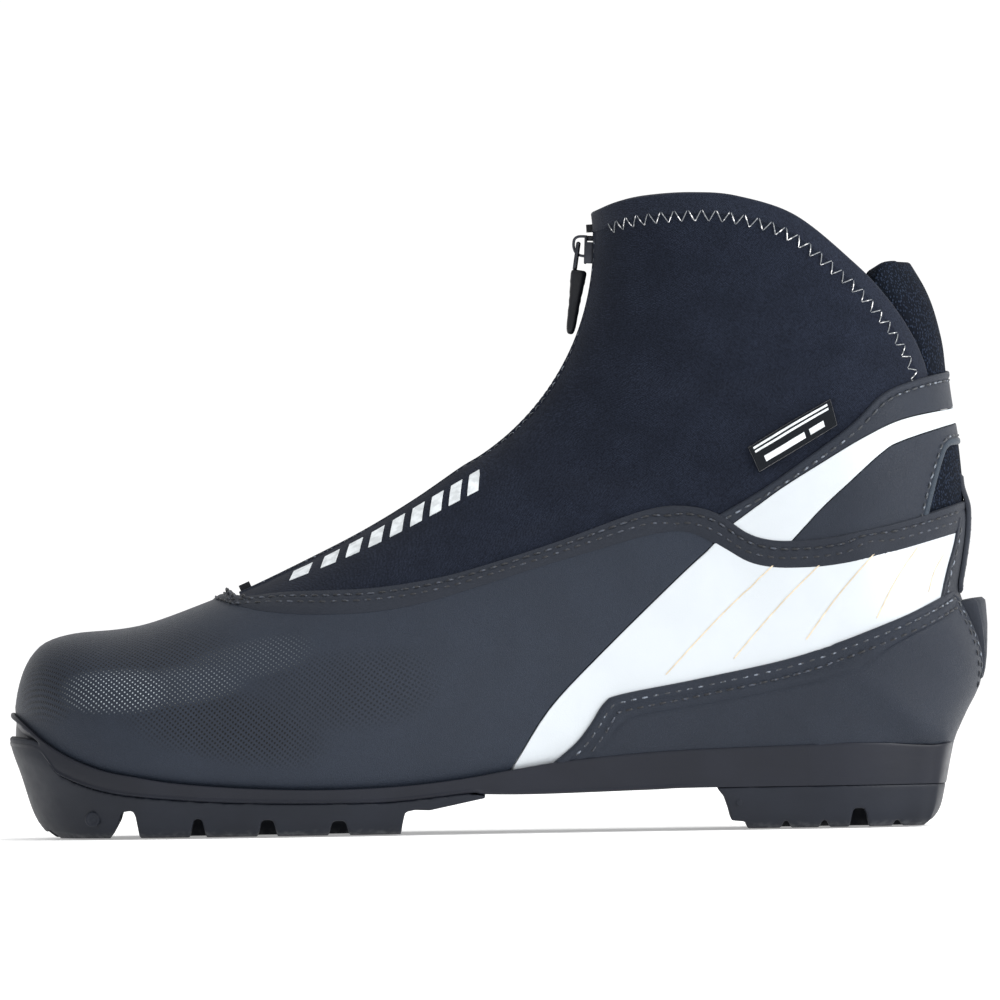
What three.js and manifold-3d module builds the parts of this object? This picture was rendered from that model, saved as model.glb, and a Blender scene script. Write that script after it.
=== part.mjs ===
// A left cross country touring boot, lying along X with the toe at -X and its outer side at -Y.
// Units are millimetres and +Z is up. The origin is on the ground under the middle of the boot.
// Every shell is cut from the same body, the last, grown or shrunk by an offset, so layers never meet.
import * as THREE from 'three';
import { mergeVertices } from 'three/addons/utils/BufferGeometryUtils.js';
import Module from 'manifold-3d';

const wasm = await Module();
wasm.setup();

// ---------------------------------------------------------------- driving dimensions

const ZIP_CENTRE = { x: -45.2, z: 171.4 }; // the zip's upper run is an arc about this point
const ZIP_RADIUS = 73.4;
const ZIP_ARC_START = 28; // degrees from straight down, where the straight run becomes the arc
const FAN_RADIUS = 120; // one radian of fan angle counts as this many millimetres of u
const FAN_TOP = 100; // degrees, above the highest point of the collar
const TOE_X = -140.4;
const TOE_Z = 38;
const HEEL_CORNER = { x: 129.2, z: 22.6 };
const TOE_SWING = 4.5; // how far the tip of the toe turns towards the inner side

// Offsets from the last's surface, positive outwards.
const LEATHER = [-1.5, 0];
const SOFTSHELL = [-2.2, -0.9];
const OVERLAY = [0.3, 1.5];
const STIFFENER = [-3.2, -1.8];
const LINING = [-6.5, -3.6];
const COLLAR_PAD = [-6.5, -1.9];
const TONGUE = [-11, -8.6];
const TAPE = [-3.2, -2.7];
const HEM = [-2.5, -0.5];
const WELT = 1.6; // how far the sole's rim stands out from the upper
const GAP = 0.3;
const FIT = 0.12; // how far a surface may move when its needless corners are dropped

// ---------------------------------------------------------------- side profiles, [x, z]

const INSTEP = [
  [TOE_X, TOE_Z], [-139.4, 43.5], [-137.6, 49], [-134.8, 53.6], [-130.6, 57], [-122.6, 59.2],
  [-110, 60.2], [-100.8, 61.9], [-88, 66.3], [-74.6, 71.6], [-57, 79.8], [-39.5, 88.5], [-24, 97.6],
];
const SOLE_AND_BACK = [
  [TOE_X, TOE_Z], [-139.7, 34], [-136.8, 29.5], [-131.6, 25.6], [-125.5, 22.4], [-112.6, 17.9],
  [-93.3, 14.7], [-67.4, 12.7], [-43.6, 12.3], [-19.2, 13.7], [2.8, 16.7], [32.7, 20], [69.5, 21.6],
  [108, 22], [122, 22], [HEEL_CORNER.x, HEEL_CORNER.z], [131.4, 27], [134.8, 34], [138, 40], [139.3, 46],
  [138.8, 52], [136.6, 59], [134.1, 65], [133.4, 69], [134.6, 76], [135.9, 85], [136, 93], [135.4, 102],
  [134.4, 112], [132.8, 122], [131.6, 131], [130.2, 141], [127.2, 152], [122.6, 161], [114, 174],
  [100, 190], [88, 200],
];
const SOLE_LINE = [
  [-146, 39.5], [-140.5, 36.4], [-136.4, 33.1], [-131.9, 29.1], [-125.5, 24.9], [-119.2, 22], [-112.6, 19.9],
  [-93.3, 16.5], [-67.4, 14.5], [-43.6, 14.1], [-19.2, 15.5], [2.8, 18.7], [19.7, 21.1], [43.6, 23.1],
  [69.5, 24.1], [108.3, 24.8], [131, 24.4], [146, 24.4],
];
const TOPLINE = [
  [-77.2, 72.5], [-76.4, 69.9], [-73.2, 68.9], [-60.1, 70.2], [-36.6, 71], [-16.5, 73.9], [0.9, 78.5],
  [18.4, 84], [41.8, 92.1], [53.4, 93.6], [63.5, 91.4], [72.1, 85.7], [77.9, 83.6], [85.1, 83],
  [96.7, 83.9], [111.4, 86.7], [123.3, 89.7], [135.3, 93.4], [146, 96.6],
];
const STRIP_LOWER = [
  [62.6, 82.4], [66.2, 80.4], [72, 76.6], [80.6, 74.7], [89.9, 74.9], [103.8, 77], [122.2, 81.2],
  [135.2, 84.9], [146, 88],
];
const WHITE_FRONT = [[2.6, 17.2], [5.9, 22.7], [14.8, 36.2], [29.5, 51.4], [51.6, 72.5], [62.6, 82.4]];
const COUNTER_TOP = [
  [15.4, 20.2], [21.9, 25.6], [26.3, 31.1], [30.2, 36.9], [35, 39.4], [58.4, 43.7], [87.5, 49.9],
  [113.8, 59.3], [126, 64.8], [131.5, 67.3], [136, 67.8], [146, 67],
];
const CUFF_TOP = [
  [63.6, 90.4], [76.7, 97.8], [88.4, 105.7], [103, 116.2], [111.9, 124.6], [120.7, 128.5], [131.4, 131],
  [146, 133],
];
const STRIPE_TOP = [
  [68, 88], [82.5, 98.2], [94.2, 105.4], [105.9, 112.2], [117.6, 117.5], [132.4, 120.5], [146, 122.6],
];
const STRIPE_LOWER = [
  [84.4, 82], [94, 92.1], [102.8, 100.1], [111.6, 107.8], [117.5, 111.2], [133, 115.9], [146, 118.6],
];
const ANKLE_REAR = [
  [146, 111.2], [134, 111.6], [130.6, 110.4], [128.7, 106.5], [126.2, 98.5], [123.4, 88],
];
const HEM_TOP = [
  [20, 171], [28.3, 176.2], [35.9, 180.7], [44.7, 182.9], [57.7, 184], [70.8, 183.1], [88.1, 177.6],
  [105.2, 163.6], [113.8, 154.4], [121, 144], [125.5, 134], [127, 126],
];
const HEM_WIDTH = 5.5;
const LEDGE = [
  [-146, 28], [-140, 27.9], [-133.5, 26.6], [-130.4, 22.6], [-126.5, 18], [-113, 13.2], [-93.5, 10.9],
  [-72.7, 9.7], [-43.7, 9.2], [-29, 9.6], [-9, 11.6],
];

// ---------------------------------------------------------------- the last

const DEG = Math.PI / 180;
const lerp = (a, b, f) => a + (b - a) * f;

// A point on the middle plane, at an angle about the zip's centre from straight down.
function aboutZip(degrees, radius) {
  const { x, z } = ZIP_CENTRE;
  const angle = degrees * DEG;
  return new THREE.Vector3(x + radius * Math.sin(angle), 0, z - radius * Math.cos(angle));
}

// A smooth line through the points, sampled a few times between each pair.
function smooth(points, perSpan = 3) {
  const curve = new THREE.SplineCurve(points.map(([x, z]) => new THREE.Vector2(x, z)));
  return curve.getPoints((points.length - 1) * perSpan).map((p) => [p.x, p.y]);
}

// The fan: upright planes in front of the zip's centre, and planes turning about it behind.
function fanOf(x, z) {
  const dx = x - ZIP_CENTRE.x;
  const dz = ZIP_CENTRE.z - z;
  return dx <= 0 ? { u: dx, r: dz } : { u: Math.atan2(dx, dz) * FAN_RADIUS, r: Math.hypot(dx, dz) };
}

function pointOf(u, r) {
  if (u <= 0) return [ZIP_CENTRE.x + u, ZIP_CENTRE.z - r];
  const angle = u / FAN_RADIUS;
  return [ZIP_CENTRE.x + r * Math.sin(angle), ZIP_CENTRE.z - r * Math.cos(angle)];
}

// A table of [input, output...] rows, read by straight interpolation.
function reader(rows) {
  return (at) => {
    let i = 1;
    while (i < rows.length - 1 && rows[i][0] < at) i += 1;
    const [a, b] = [rows[i - 1], rows[i]];
    const f = THREE.MathUtils.clamp((at - a[0]) / (b[0] - a[0]), 0, 1);
    return a.slice(1).map((value, k) => lerp(value, b[k + 1], f));
  };
}

function radiusTable(points) {
  const rows = smooth(points, 16).map(([x, z]) => fanOf(x, z));
  return reader(rows.map(({ u, r }) => [u, r]));
}

const arcPoints = [];
for (let a = ZIP_ARC_START; a <= FAN_TOP + 4; a += 4) {
  const { x, z } = aboutZip(a, ZIP_RADIUS);
  arcPoints.push([x, z]);
}
const innerRadius = radiusTable([...INSTEP, ...arcPoints]);
const outerRadius = radiusTable(SOLE_AND_BACK);
const U_TIP = TOE_X - ZIP_CENTRE.x;
const U_TOP = FAN_TOP * DEG * FAN_RADIUS;
const U_HEEL = fanOf(HEEL_CORNER.x, HEEL_CORNER.z).u;

// Stations along the foot: u, outer half width, inner half width, where the widest point lies
// from instep (0) to sole (1), and the roundness above and below it.
const STATIONS = [
  [-95.2, 46, 46, 0.6, 2.3, 2.2], [-80, 46, 46, 0.64, 2.35, 2.3], [-60, 46, 46, 0.7, 2.3, 2.4],
  [-40, 46.5, 46.5, 0.74, 2.15, 2.4], [-20, 47.6, 46.4, 0.75, 2.0, 2.4], [0, 47.4, 44.6, 0.76, 1.95, 2.4],
  [21, 45.6, 41.6, 0.76, 1.95, 2.4], [42, 42.6, 39.6, 0.76, 2.0, 2.4], [63, 40, 38.4, 0.75, 2.05, 2.4],
  [84, 38.4, 37.6, 0.74, 2.1, 2.3], [105, 37.4, 37, 0.72, 2.15, 2.1], [126, 36.8, 36.6, 0.7, 2.15, 2],
  [147, 36.2, 36, 0.64, 2.1, 2], [168, 35, 35, 0.58, 2.1, 2], [190, 34.4, 34.4, 0.55, 2.1, 2],
  [212, 34, 34, 0.55, 2.1, 2],
];
const STATION_COLUMNS = STATIONS[0].length - 1;
const stationCurves = [];
for (let k = 1; k <= STATION_COLUMNS; k += 1) {
  stationCurves.push(new THREE.SplineCurve(STATIONS.map((row) => new THREE.Vector2(row[0], row[k]))));
}
const stationRows = [];
for (let i = 0; i <= 160; i += 1) {
  const at = stationCurves.map((curve) => curve.getPoint(i / 160));
  stationRows.push([at[0].x, ...at.map((p) => p.y)]);
}
const readStation = reader(stationRows);

const TOE_ROUND = { from: -85, power: 2.3 };
const HEEL_ROUND = { from: 94, power: 2.2 };

function roundOff(share, power) {
  return Math.pow(Math.max(0, 1 - Math.pow(THREE.MathUtils.clamp(share, 0, 1), power)), 1 / power);
}

// Half width of the last on one side (-1 outer, 1 inner) at station u, t of the way down to the sole.
function halfWidth(u, t, side) {
  const [outer, inner, widest, upper, lower] = readStation(u);
  const toe = roundOff((TOE_ROUND.from - (ZIP_CENTRE.x + u)) / (TOE_ROUND.from - TOE_X), TOE_ROUND.power);
  const width = (side < 0 ? outer : inner) * toe;
  if (t <= widest) return width * roundOff((widest - t) / widest, upper);
  const [soleX] = pointOf(u, outerRadius(u)[0]);
  const heel = roundOff((soleX - HEEL_ROUND.from) / (HEEL_CORNER.x - HEEL_ROUND.from), HEEL_ROUND.power);
  const flat = 34 * heel + 40 * (soleX < HEEL_ROUND.from);
  const sole = u >= U_HEEL ? 0 : Math.min((width - 4 * toe) * 0.98, flat);
  return sole + (width - sole) * roundOff((t - widest) / (1 - widest), lower);
}

// v runs from 0 on the instep's ridge to -1 (outer side) or 1 (inner side) at the sole or back.
function lastPoint(u, v) {
  const wrapped = v > 1 ? v - 2 : v < -1 ? v + 2 : v;
  const side = wrapped < 0 ? -1 : 1;
  const t = (1 - Math.cos(Math.PI * Math.abs(wrapped))) / 2;
  const [x, z] = pointOf(u, lerp(innerRadius(u)[0], outerRadius(u)[0], t));
  const swing = TOE_SWING * Math.pow(Math.min(0, u) / U_TIP, 2);
  return new THREE.Vector3(x, swing + side * halfWidth(u, t, side), z);
}

function lastNormal(u, v) {
  if (u <= U_TIP + 1e-6) return new THREE.Vector3(-1, 0, 0);
  const du = Math.min(0.4, u - U_TIP);
  const dv = 0.004;
  const alongU = lastPoint(u + du, v).sub(lastPoint(u - du, v));
  const alongV = lastPoint(u, v + dv).sub(lastPoint(u, v - dv));
  return alongU.cross(alongV).normalize();
}

// Just behind the heel's lower corner the offset goes down as well as out, as at a mitred edge.
function layerPoint(u, v, offset) {
  const out = lastNormal(u, v);
  if (u > U_HEEL && u < U_HEEL + 2) out.z -= THREE.MathUtils.clamp(8 * Math.abs(v) - 7, 0, 1);
  return lastPoint(u, v).addScaledVector(out, offset);
}

// v on the upper half of station u where the side stands y from the ridge.
function vAt(u, y) {
  const side = y < 0 ? -1 : 1;
  let [low, high] = [0, 0.5];
  for (let i = 0; i < 24; i += 1) {
    const mid = (low + high) / 2;
    const t = (1 - Math.cos(Math.PI * mid)) / 2;
    if (halfWidth(u, t, side) < Math.abs(y)) low = mid;
    else high = mid;
  }
  return side * low;
}

// ---------------------------------------------------------------- solids and cuts

function solid(geometry) {
  const bare = geometry.clone();
  bare.deleteAttribute('normal');
  bare.deleteAttribute('uv');
  const merged = mergeVertices(bare, 1e-3);
  const index = merged.index.array;
  const kept = [];
  for (let i = 0; i < index.length; i += 3) {
    const [a, b, c] = [index[i], index[i + 1], index[i + 2]];
    if (a !== b && b !== c && a !== c) kept.push(a, b, c);
  }
  const mesh = new wasm.Mesh({
    numProp: 3,
    vertProperties: merged.attributes.position.array,
    triVerts: new Uint32Array(kept),
  });
  return new wasm.Manifold(mesh);
}

function geometryOf(body) {
  const mesh = body.getMesh();
  const geometry = new THREE.BufferGeometry();
  geometry.setAttribute('position', new THREE.BufferAttribute(new Float32Array(mesh.vertProperties), 3));
  geometry.setIndex(new THREE.BufferAttribute(new Uint32Array(mesh.triVerts), 1));
  geometry.computeVertexNormals();
  return geometry;
}

// A closed body from rings of points, the same number in each; the ends are closed with fans.
function loft(rings, capStart = true, capEnd = true) {
  const n = rings[0].length;
  const positions = rings.flat().flatMap((p) => [p.x, p.y, p.z]);
  const index = [];
  for (let i = 0; i < rings.length - 1; i += 1) {
    for (let j = 0; j < n; j += 1) {
      const [a, b] = [i * n + j, i * n + ((j + 1) % n)];
      if (j < n / 2) index.push(a, a + n, b + n, a, b + n, b);
      else index.push(a, a + n, b, b, a + n, b + n);
    }
  }
  const cap = (ring, flip) => {
    const centre = new THREE.Vector3();
    ring.forEach((p) => centre.addScaledVector(p, 1 / n));
    const at = positions.length / 3;
    positions.push(centre.x, centre.y, centre.z);
    const base = flip ? (rings.length - 1) * n : 0;
    for (let j = 0; j < n; j += 1) {
      const [a, b] = [base + j, base + ((j + 1) % n)];
      index.push(...(flip ? [b, a, at] : [a, b, at]));
    }
  };
  if (capStart) cap(rings[0], false);
  if (capEnd) cap(rings[rings.length - 1], true);
  const geometry = new THREE.BufferGeometry();
  geometry.setAttribute('position', new THREE.Float32BufferAttribute(positions, 3));
  geometry.setIndex(index);
  const body = solid(geometry);
  if (body.volume() > 0) return body;
  return solid(flipped(geometry));
}

function flipped(geometry) {
  const index = Array.from(geometry.index.array);
  for (let i = 0; i < index.length; i += 3) [index[i + 1], index[i + 2]] = [index[i + 2], index[i + 1]];
  const turned = geometry.clone();
  turned.setIndex(index);
  return turned;
}

// The stations that every layer shares: close together round the toe and the heel.
const STATION_U = [];
for (let i = 0; i <= 6; i += 1) STATION_U.push(U_TIP + 36 * (1 - Math.cos((i / 6) * 90 * DEG)));
for (let u = -46; u < 80; u += 13) STATION_U.push(u);
for (const u of [84, 94, U_HEEL - 2, U_HEEL + 0.6, 112, 121]) STATION_U.push(u);
for (let u = 132; u < U_TOP; u += 11) STATION_U.push(u);
STATION_U.push(U_TOP);
const SIDE_STEPS = 8;

const grown = new Map();
function lastBody(offset) {
  if (grown.has(offset)) return grown.get(offset);
  const rings = STATION_U.map((u) => {
    const ring = [];
    for (let j = -SIDE_STEPS; j <= SIDE_STEPS; j += 1) ring.push(layerPoint(u, j / SIDE_STEPS, offset));
    return ring;
  });
  grown.set(offset, loft(rings, false, true));
  return grown.get(offset);
}

function shell([inside, outside]) {
  return lastBody(outside).subtract(lastBody(inside));
}

// A side-view outline made solid across the boot, from y0 to y1.
function across(outline, y0 = -90, y1 = 90) {
  const shape = new THREE.Shape(outline.map(([x, z]) => new THREE.Vector2(x, z)));
  const geometry = new THREE.ExtrudeGeometry(shape, { depth: y1 - y0, bevelEnabled: false, steps: 1 });
  geometry.rotateX(90 * DEG);
  geometry.translate(0, y1, 0);
  return solid(geometry);
}

function block(x0, x1, y0, y1, z0, z1) {
  const geometry = new THREE.BoxGeometry(x1 - x0, y1 - y0, z1 - z0);
  geometry.translate((x0 + x1) / 2, (y0 + y1) / 2, (z0 + z1) / 2);
  return solid(geometry);
}

const raised = (line, dz) => line.map(([x, z]) => [x, z + dz]);
const reversed = (line) => [...line].reverse();
const between = (upper, lower) => [...upper, ...reversed(lower)];
const OUTER_SIDE = block(-200, 200, -90, -0.2, -10, 250);
const INNER_SIDE = block(-200, 200, 0.2, 90, -10, 250);

const soleLine = smooth(SOLE_LINE);
const topline = smooth(TOPLINE);
const whiteFront = smooth(WHITE_FRONT);
const stripLower = smooth(STRIP_LOWER);

// ---------------------------------------------------------------- sole

// The sole's outer body: the rim follows the last at the sole line and tapers to the ground.
const TOE_TAPER = [[0, 0], [0.23, 0.5], [0.5, -2.6], [0.77, -5.6], [0.9, -8], [0.96, -10], [1, -12]];
const HEEL_TAPER = [[0, 0], [0.22, -1.2], [0.59, -3], [0.77, -4], [0.9, -5.8], [0.96, -7.6], [1, -10]];
const SIDE_TAPER = [[0, 0], [0.22, -0.6], [0.5, -1.6], [0.77, -3], [0.9, -4], [0.96, -5], [1, -6.6]];
const HEEL_RIM = { x: 130.2, z: 24.4 };
const RIM_X = [];
for (let i = 0; i < 7; i += 1) RIM_X.push(TOE_X + 46 * (1 - Math.cos((i / 7) * 90 * DEG)));
for (let x = TOE_X + 46; x < 88; x += 14) RIM_X.push(x);
for (let i = 0; i <= 6; i += 1) RIM_X.push(90 + (HEEL_RIM.x - 90) * Math.sin((i / 6) * 90 * DEG));
const SOLE_LEVELS = [0, 0.12, 0.23, 0.36, 0.5, 0.64, 0.77, 0.87, 0.95, 1];

function soleHeight(x) {
  return reader(soleLine)(x)[0];
}

// Where the sole line crosses station u: the share of the way down, found by halving.
function vOnSole(u) {
  let [low, high] = [0.5, 1];
  for (let i = 0; i < 24; i += 1) {
    const mid = (low + high) / 2;
    const p = lastPoint(u, mid);
    if (p.z > soleHeight(p.x)) low = mid;
    else high = mid;
  }
  return low;
}

// The line the sole's rim follows, grown from the last by an offset, once round the boot.
function rimLine(offset) {
  const rim = [];
  const half = RIM_X.map((x) => fanOf(x, soleHeight(x)).u).map((u) => ({ u, v: vOnSole(u) }));
  for (const side of [-1, 1]) {
    const run = half.map(({ u, v }) => layerPoint(u, side * v, offset));
    run[0].set(TOE_X - offset * 0.75, TOE_SWING, 36.4);
    run[run.length - 1].set(HEEL_RIM.x + offset, 0, HEEL_RIM.z);
    rim.push(...(side < 0 ? run : reversed(run).slice(1, -1)));
  }
  return rim;
}

// Everything inside the rim's plan, below a side-view line.
function insideRim(offset, line) {
  const rim = rimLine(offset);
  const prism = loft([0, 60].map((z) => rim.map((p) => new THREE.Vector3(p.x, p.y, z))));
  return prism.intersect(across([...line, [146, -5], [-146, -5]]));
}

function soleBody() {
  const rim = rimLine(WELT);
  const n = rim.length;
  const rings = SOLE_LEVELS.map((f) => rim.map((p, i) => {
    const ahead = rim[(i + 1) % n];
    const behind = rim[(i + n - 1) % n];
    const normal = new THREE.Vector2(ahead.y - behind.y, behind.x - ahead.x).normalize();
    if (normal.dot(new THREE.Vector2(p.x, p.y)) < 0) normal.negate();
    const toe = Math.max(0, -normal.x) ** 2 * (p.x < 0);
    const heel = Math.max(0, normal.x) ** 2 * (p.x > 0);
    const push = toe * reader(TOE_TAPER)(f)[0] + heel * reader(HEEL_TAPER)(f)[0]
      + (1 - toe - heel) * reader(SIDE_TAPER)(f)[0];
    return new THREE.Vector3(p.x + normal.x * push, p.y + normal.y * push, p.z * (1 - f));
  }));
  return loft(rings, true, true);
}

const SOLE = soleBody();
const CUP = lastBody(GAP);

const WAIST = [[-9, 11.6], [-4.2, 11.2], [12, 11], [43, 11.7], [62, 12.1]];
const HEEL_SEAM_Z = 12.1;

function soleChassis() {
  const lower = [...smooth(LEDGE), ...WAIST.slice(1), [146, HEEL_SEAM_Z]];
  return SOLE.intersect(across(between(soleLine, lower))).subtract(CUP);
}

// Tread gaps as [front x, rear x, height], cut in from both edges of the sole with leaning walls.
// A rib along the middle, between the two guide grooves, stays whole.
const FOREFOOT_GAPS = [[-88.6, -86.4, 5.4], [-69, -65.8, 4.8], [-48.6, -45, 4.2]];
const GAP_LEAN = 1.5;
const MIDDLE_RIB = 6;
const GUIDE_GROOVE = { y: 9.5, width: 6, height: 4.2 };
const BAR = { x: -118, z: 5.6, radius: 2, length: 80 };

function treadGap([front, rear, height]) {
  const outline = [[front - GAP_LEAN, -1], [front, height], [rear, height], [rear + GAP_LEAN, -1]];
  return across(outline, -90, -MIDDLE_RIB).add(across(outline, MIDDLE_RIB, 90));
}

function guideGrooves(x0, x1) {
  const grooves = [-1, 1].map((side) => block(
    x0, x1,
    side * GUIDE_GROOVE.y - GUIDE_GROOVE.width / 2, side * GUIDE_GROOVE.y + GUIDE_GROOVE.width / 2,
    -1, GUIDE_GROOVE.height,
  ));
  return grooves[0].add(grooves[1]);
}

function forefootOutsole() {
  const bottom = [
    [-146, -2], [-29.2, -2], [-28.6, 2], [-27.6, 6.4], [-24.8, 7], [-20.5, 6.8], [-4.4, 10.1],
    [-4.2, 10.9], [-9, 11.3],
  ];
  let body = SOLE.intersect(across(between(raised(smooth(LEDGE), -GAP), bottom)));
  body = body.subtract(CUP);
  // The binding's mouth: open below and behind the bar, closed at the sides by the outer lugs.
  const mouth = [[-134, -1], [-124, 9], [-108, 9.6], [-102, 9.4], [-102, -1]];
  body = body.subtract(across(mouth, -13, 13));
  // The notch behind the first lug goes right across.
  const notch = [[-113.4, -1], [-110.4, 4.3], [-109.4, 7.6], [-106.4, 8], [-105.6, 6.6], [-104.2, -1]];
  body = body.subtract(across(notch));
  for (const gap of FOREFOOT_GAPS) body = body.subtract(treadGap(gap));
  body = body.subtract(guideGrooves(-103, 10));
  return body.subtract(barRod(BAR.radius + 0.05));
}

function barRod(radius) {
  const geometry = new THREE.CylinderGeometry(radius, radius, BAR.length, 20);
  geometry.translate(BAR.x, 0, BAR.z);
  return solid(geometry);
}

const HEEL_GAPS = [[81.9, 82.9, 2.2], [93, 94, 2.2], [102, 105.2, 5.4], [114.1, 115.1, 1.8]];

function heelOutsole() {
  const outline = [
    [62.6, HEEL_SEAM_Z - GAP], [64.6, 9.3], [66, 5], [66.6, 2.4], [70.8, 2], [71.4, -2], [146, -2],
    [146, HEEL_SEAM_Z - GAP],
  ];
  let body = SOLE.intersect(across(outline));
  for (const gap of HEEL_GAPS) body = body.subtract(treadGap(gap));
  return body.subtract(guideGrooves(60, 112));
}

// ---------------------------------------------------------------- inside the shoe

const floorLine = (lift, x0, x1) => smooth(SOLE_AND_BACK.slice(1, 15)).filter(([x]) => x > x0 && x < x1)
  .map(([x, z]) => [x, z + lift]);

function insoleBoard() {
  const slab = across(between(floorLine(1.9, -130, 116), floorLine(0.5, -130, 116)));
  return insideRim(-5.6, [[-146, 50], [146, 50]]).intersect(slab);
}

function steelShank() {
  const run = floorLine(2.2, -22, 84);
  return across(between(raised(run, 1.1), run), -7, 7);
}

function footbed() {
  const [upper, lower] = [floorLine(10.8, -130, 120), floorLine(5, -130, 120)];
  return lastBody(-6.9).intersect(across(between(upper, lower)));
}

const LINING_TOP = [
  [-146, 200], [0, 200], [20, 168], [40, 172.5], [58, 174], [84, 168.5], [106, 152], [146, 140],
];
const PAD_OUTLINE = [
  [111.8, 157.9], [112, 161.4], [113.7, 163.8], [116.4, 164.4], [146, 164.4], [146, 86], [117.6, 86],
  [112.6, 118], [118, 126], [127.8, 129], [126.4, 134.6], [121.8, 144.6], [115.4, 154.4],
];
const PAD_OUTLINE_CLEAR = [
  [111.4, 157.5], [111.6, 161.6], [113.4, 164.4], [116.4, 200], [146, 200], [146, 85.6], [117.2, 85.6],
  [112.2, 118.2], [117.6, 126.4], [126.9, 129.2], [126, 134.4], [121.4, 144.4], [115, 154],
];
const THROAT_X = -76.4;

function lining() {
  const outline = [[-146, 0], [146, 0], ...reversed(smooth(LINING_TOP, 2))];
  let body = shell(LINING).intersect(across(outline));
  body = body.subtract(across(PAD_OUTLINE_CLEAR));
  const slot = [[-62, 200], [-62, 60], [-20, 60], [10, 96], [40, 140], [40, 200]];
  return body.subtract(across(slot, -18.3, 18.3));
}

function collarPad() {
  return shell(COLLAR_PAD).intersect(across(PAD_OUTLINE));
}

function tongue() {
  const outline = [[-66, 200], [-66, 56], [-20, 56], [10, 90], [50, 140], [50, 187], [30, 187], [10, 182]];
  const room = [[-66, 40], [60, 40], [60, 182], [-66, 182]];
  return shell(TONGUE).intersect(across(outline, -22, 22)).intersect(across(room));
}

function toePuff() {
  const floor = floorLine(3, -139, -110);
  const outline = [[-146, 32], ...floor, [-108, 36], [-101, 56], [-100, 80], [-146, 80]];
  return shell(STIFFENER).intersect(across(outline));
}

function heelStiffener() {
  const outline = [[72, 27.6], [146, 27.6], [146, 76], [126, 74], [104, 60], [80, 44]];
  return shell(STIFFENER).intersect(across(outline));
}

// ---------------------------------------------------------------- upper panels

function vamp() {
  const outline = [
    [-150, 38], [-150, 110], [TOPLINE[0][0], 110], ...topline, ...reversed(stripLower),
    ...reversed(whiteFront), ...reversed(raised(soleLine, -1.2).filter(([x]) => x < 1.5)),
  ];
  return shell(LEATHER).intersect(across(outline)).subtract(insideRim(-4.2, raised(soleLine, 0.6)));
}

function whiteQuarter(side) {
  const front = whiteFront.map(([x, z]) => [x + GAP, z]).filter(([, z]) => z < 81.4);
  const lower = raised(soleLine, -1.2).filter(([x]) => x > 3.4);
  const outline = [...front, ...raised(stripLower, -GAP - 0.1).slice(1), ...reversed(lower)];
  return shell(LEATHER).intersect(across(outline)).intersect(side)
    .subtract(insideRim(-4.2, raised(soleLine, 0.6)));
}

// The moulded lip at the back of the heel, between the two counters.
const SPOILER_HALF = [[42, 2.5], [50, 6.5], [58, 10], [64, 12.5], [70, 13.5]];
const SPOILER_BACK = [
  [130, 66.6], [133.2, 66.4], [135.2, 63.4], [137.4, 62.6], [141.4, 64.2], [142, 58], [141.9, 53], [141, 45],
  [139.8, 41], [130, 41],
];

function spoilerWedge(grow) {
  const outline = [
    ...SPOILER_HALF.map(([z, y]) => [-y - grow, z]), ...reversed(SPOILER_HALF).map(([z, y]) => [y + grow, z]),
  ];
  const shape = new THREE.Shape(outline.map(([y, z]) => new THREE.Vector2(y, z)));
  const geometry = new THREE.ExtrudeGeometry(shape, { depth: 40, bevelEnabled: false, steps: 1 });
  geometry.rotateX(90 * DEG);
  geometry.rotateZ(90 * DEG);
  geometry.translate(110, 0, 0);
  return solid(geometry);
}

function heelCounter(side) {
  const lower = raised(soleLine, GAP).filter(([x]) => x > 14);
  const outline = [...smooth(COUNTER_TOP), ...reversed(lower)];
  return shell(OVERLAY).intersect(across(outline)).intersect(side).subtract(spoilerWedge(GAP));
}

function heelSpoiler() {
  return spoilerWedge(0).intersect(across(smooth(SPOILER_BACK, 2))).subtract(lastBody(GAP));
}

function backstay() {
  const outline = [[110, 66.8], [146, 66.8], [146, 101.5], [110, 101.5]];
  return shell([0.3, 1.7]).intersect(across(outline, -7, 7)).intersect(block(120, 150, -7, 7, 60, 110));
}

const ABOVE_TOPLINE = across([...raised(topline, GAP + 0.1), [146, 260], [-80, 260]]);
const ABOVE_CUFF = ABOVE_TOPLINE.intersect(across([
  [-90, 50], [60, 50], [60, 88], ...raised(smooth(CUFF_TOP), GAP + 0.1), [146, 260], [-90, 260],
]));

function cuffBand() {
  const outline = between(smooth(CUFF_TOP), raised(smooth(STRIPE_TOP), GAP));
  return shell(LEATHER).intersect(across(outline)).intersect(ABOVE_TOPLINE);
}

function cuffStripe() {
  const outline = [...smooth(STRIPE_TOP), ...reversed(smooth(STRIPE_LOWER)), [78, 78]];
  return shell(LEATHER).intersect(across(outline)).intersect(ABOVE_TOPLINE);
}

function ankleQuarter() {
  const outline = [...raised(smooth(STRIPE_LOWER), -GAP - 0.1), ...smooth(ANKLE_REAR), [122, 78], [84.8, 78]];
  return shell(LEATHER).intersect(across(outline)).intersect(ABOVE_TOPLINE);
}

const ZIP_SLOT = 4.9;

const hemTop = smooth(HEM_TOP);

// One side of the lace cover, from the zip's tape to the rear, without the zip's slot.
function coverSide(layer, outline, sign) {
  const half = sign < 0 ? [-80, -ZIP_SLOT] : [ZIP_SLOT, 80];
  return shell(layer).intersect(across(outline, ...half)).intersect(ABOVE_CUFF);
}

function laceCover(sign) {
  const upper = reversed(raised(hemTop, -HEM_WIDTH));
  const outline = [[-76, 69], [130, 69], [130, 122], ...upper, [10, 165], [-76, 110]];
  return coverSide(SOFTSHELL, outline, sign);
}

function coverHem(sign) {
  return coverSide(HEM, between(hemTop, raised(hemTop, GAP - HEM_WIDTH)), sign);
}

// ---------------------------------------------------------------- zip

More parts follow.
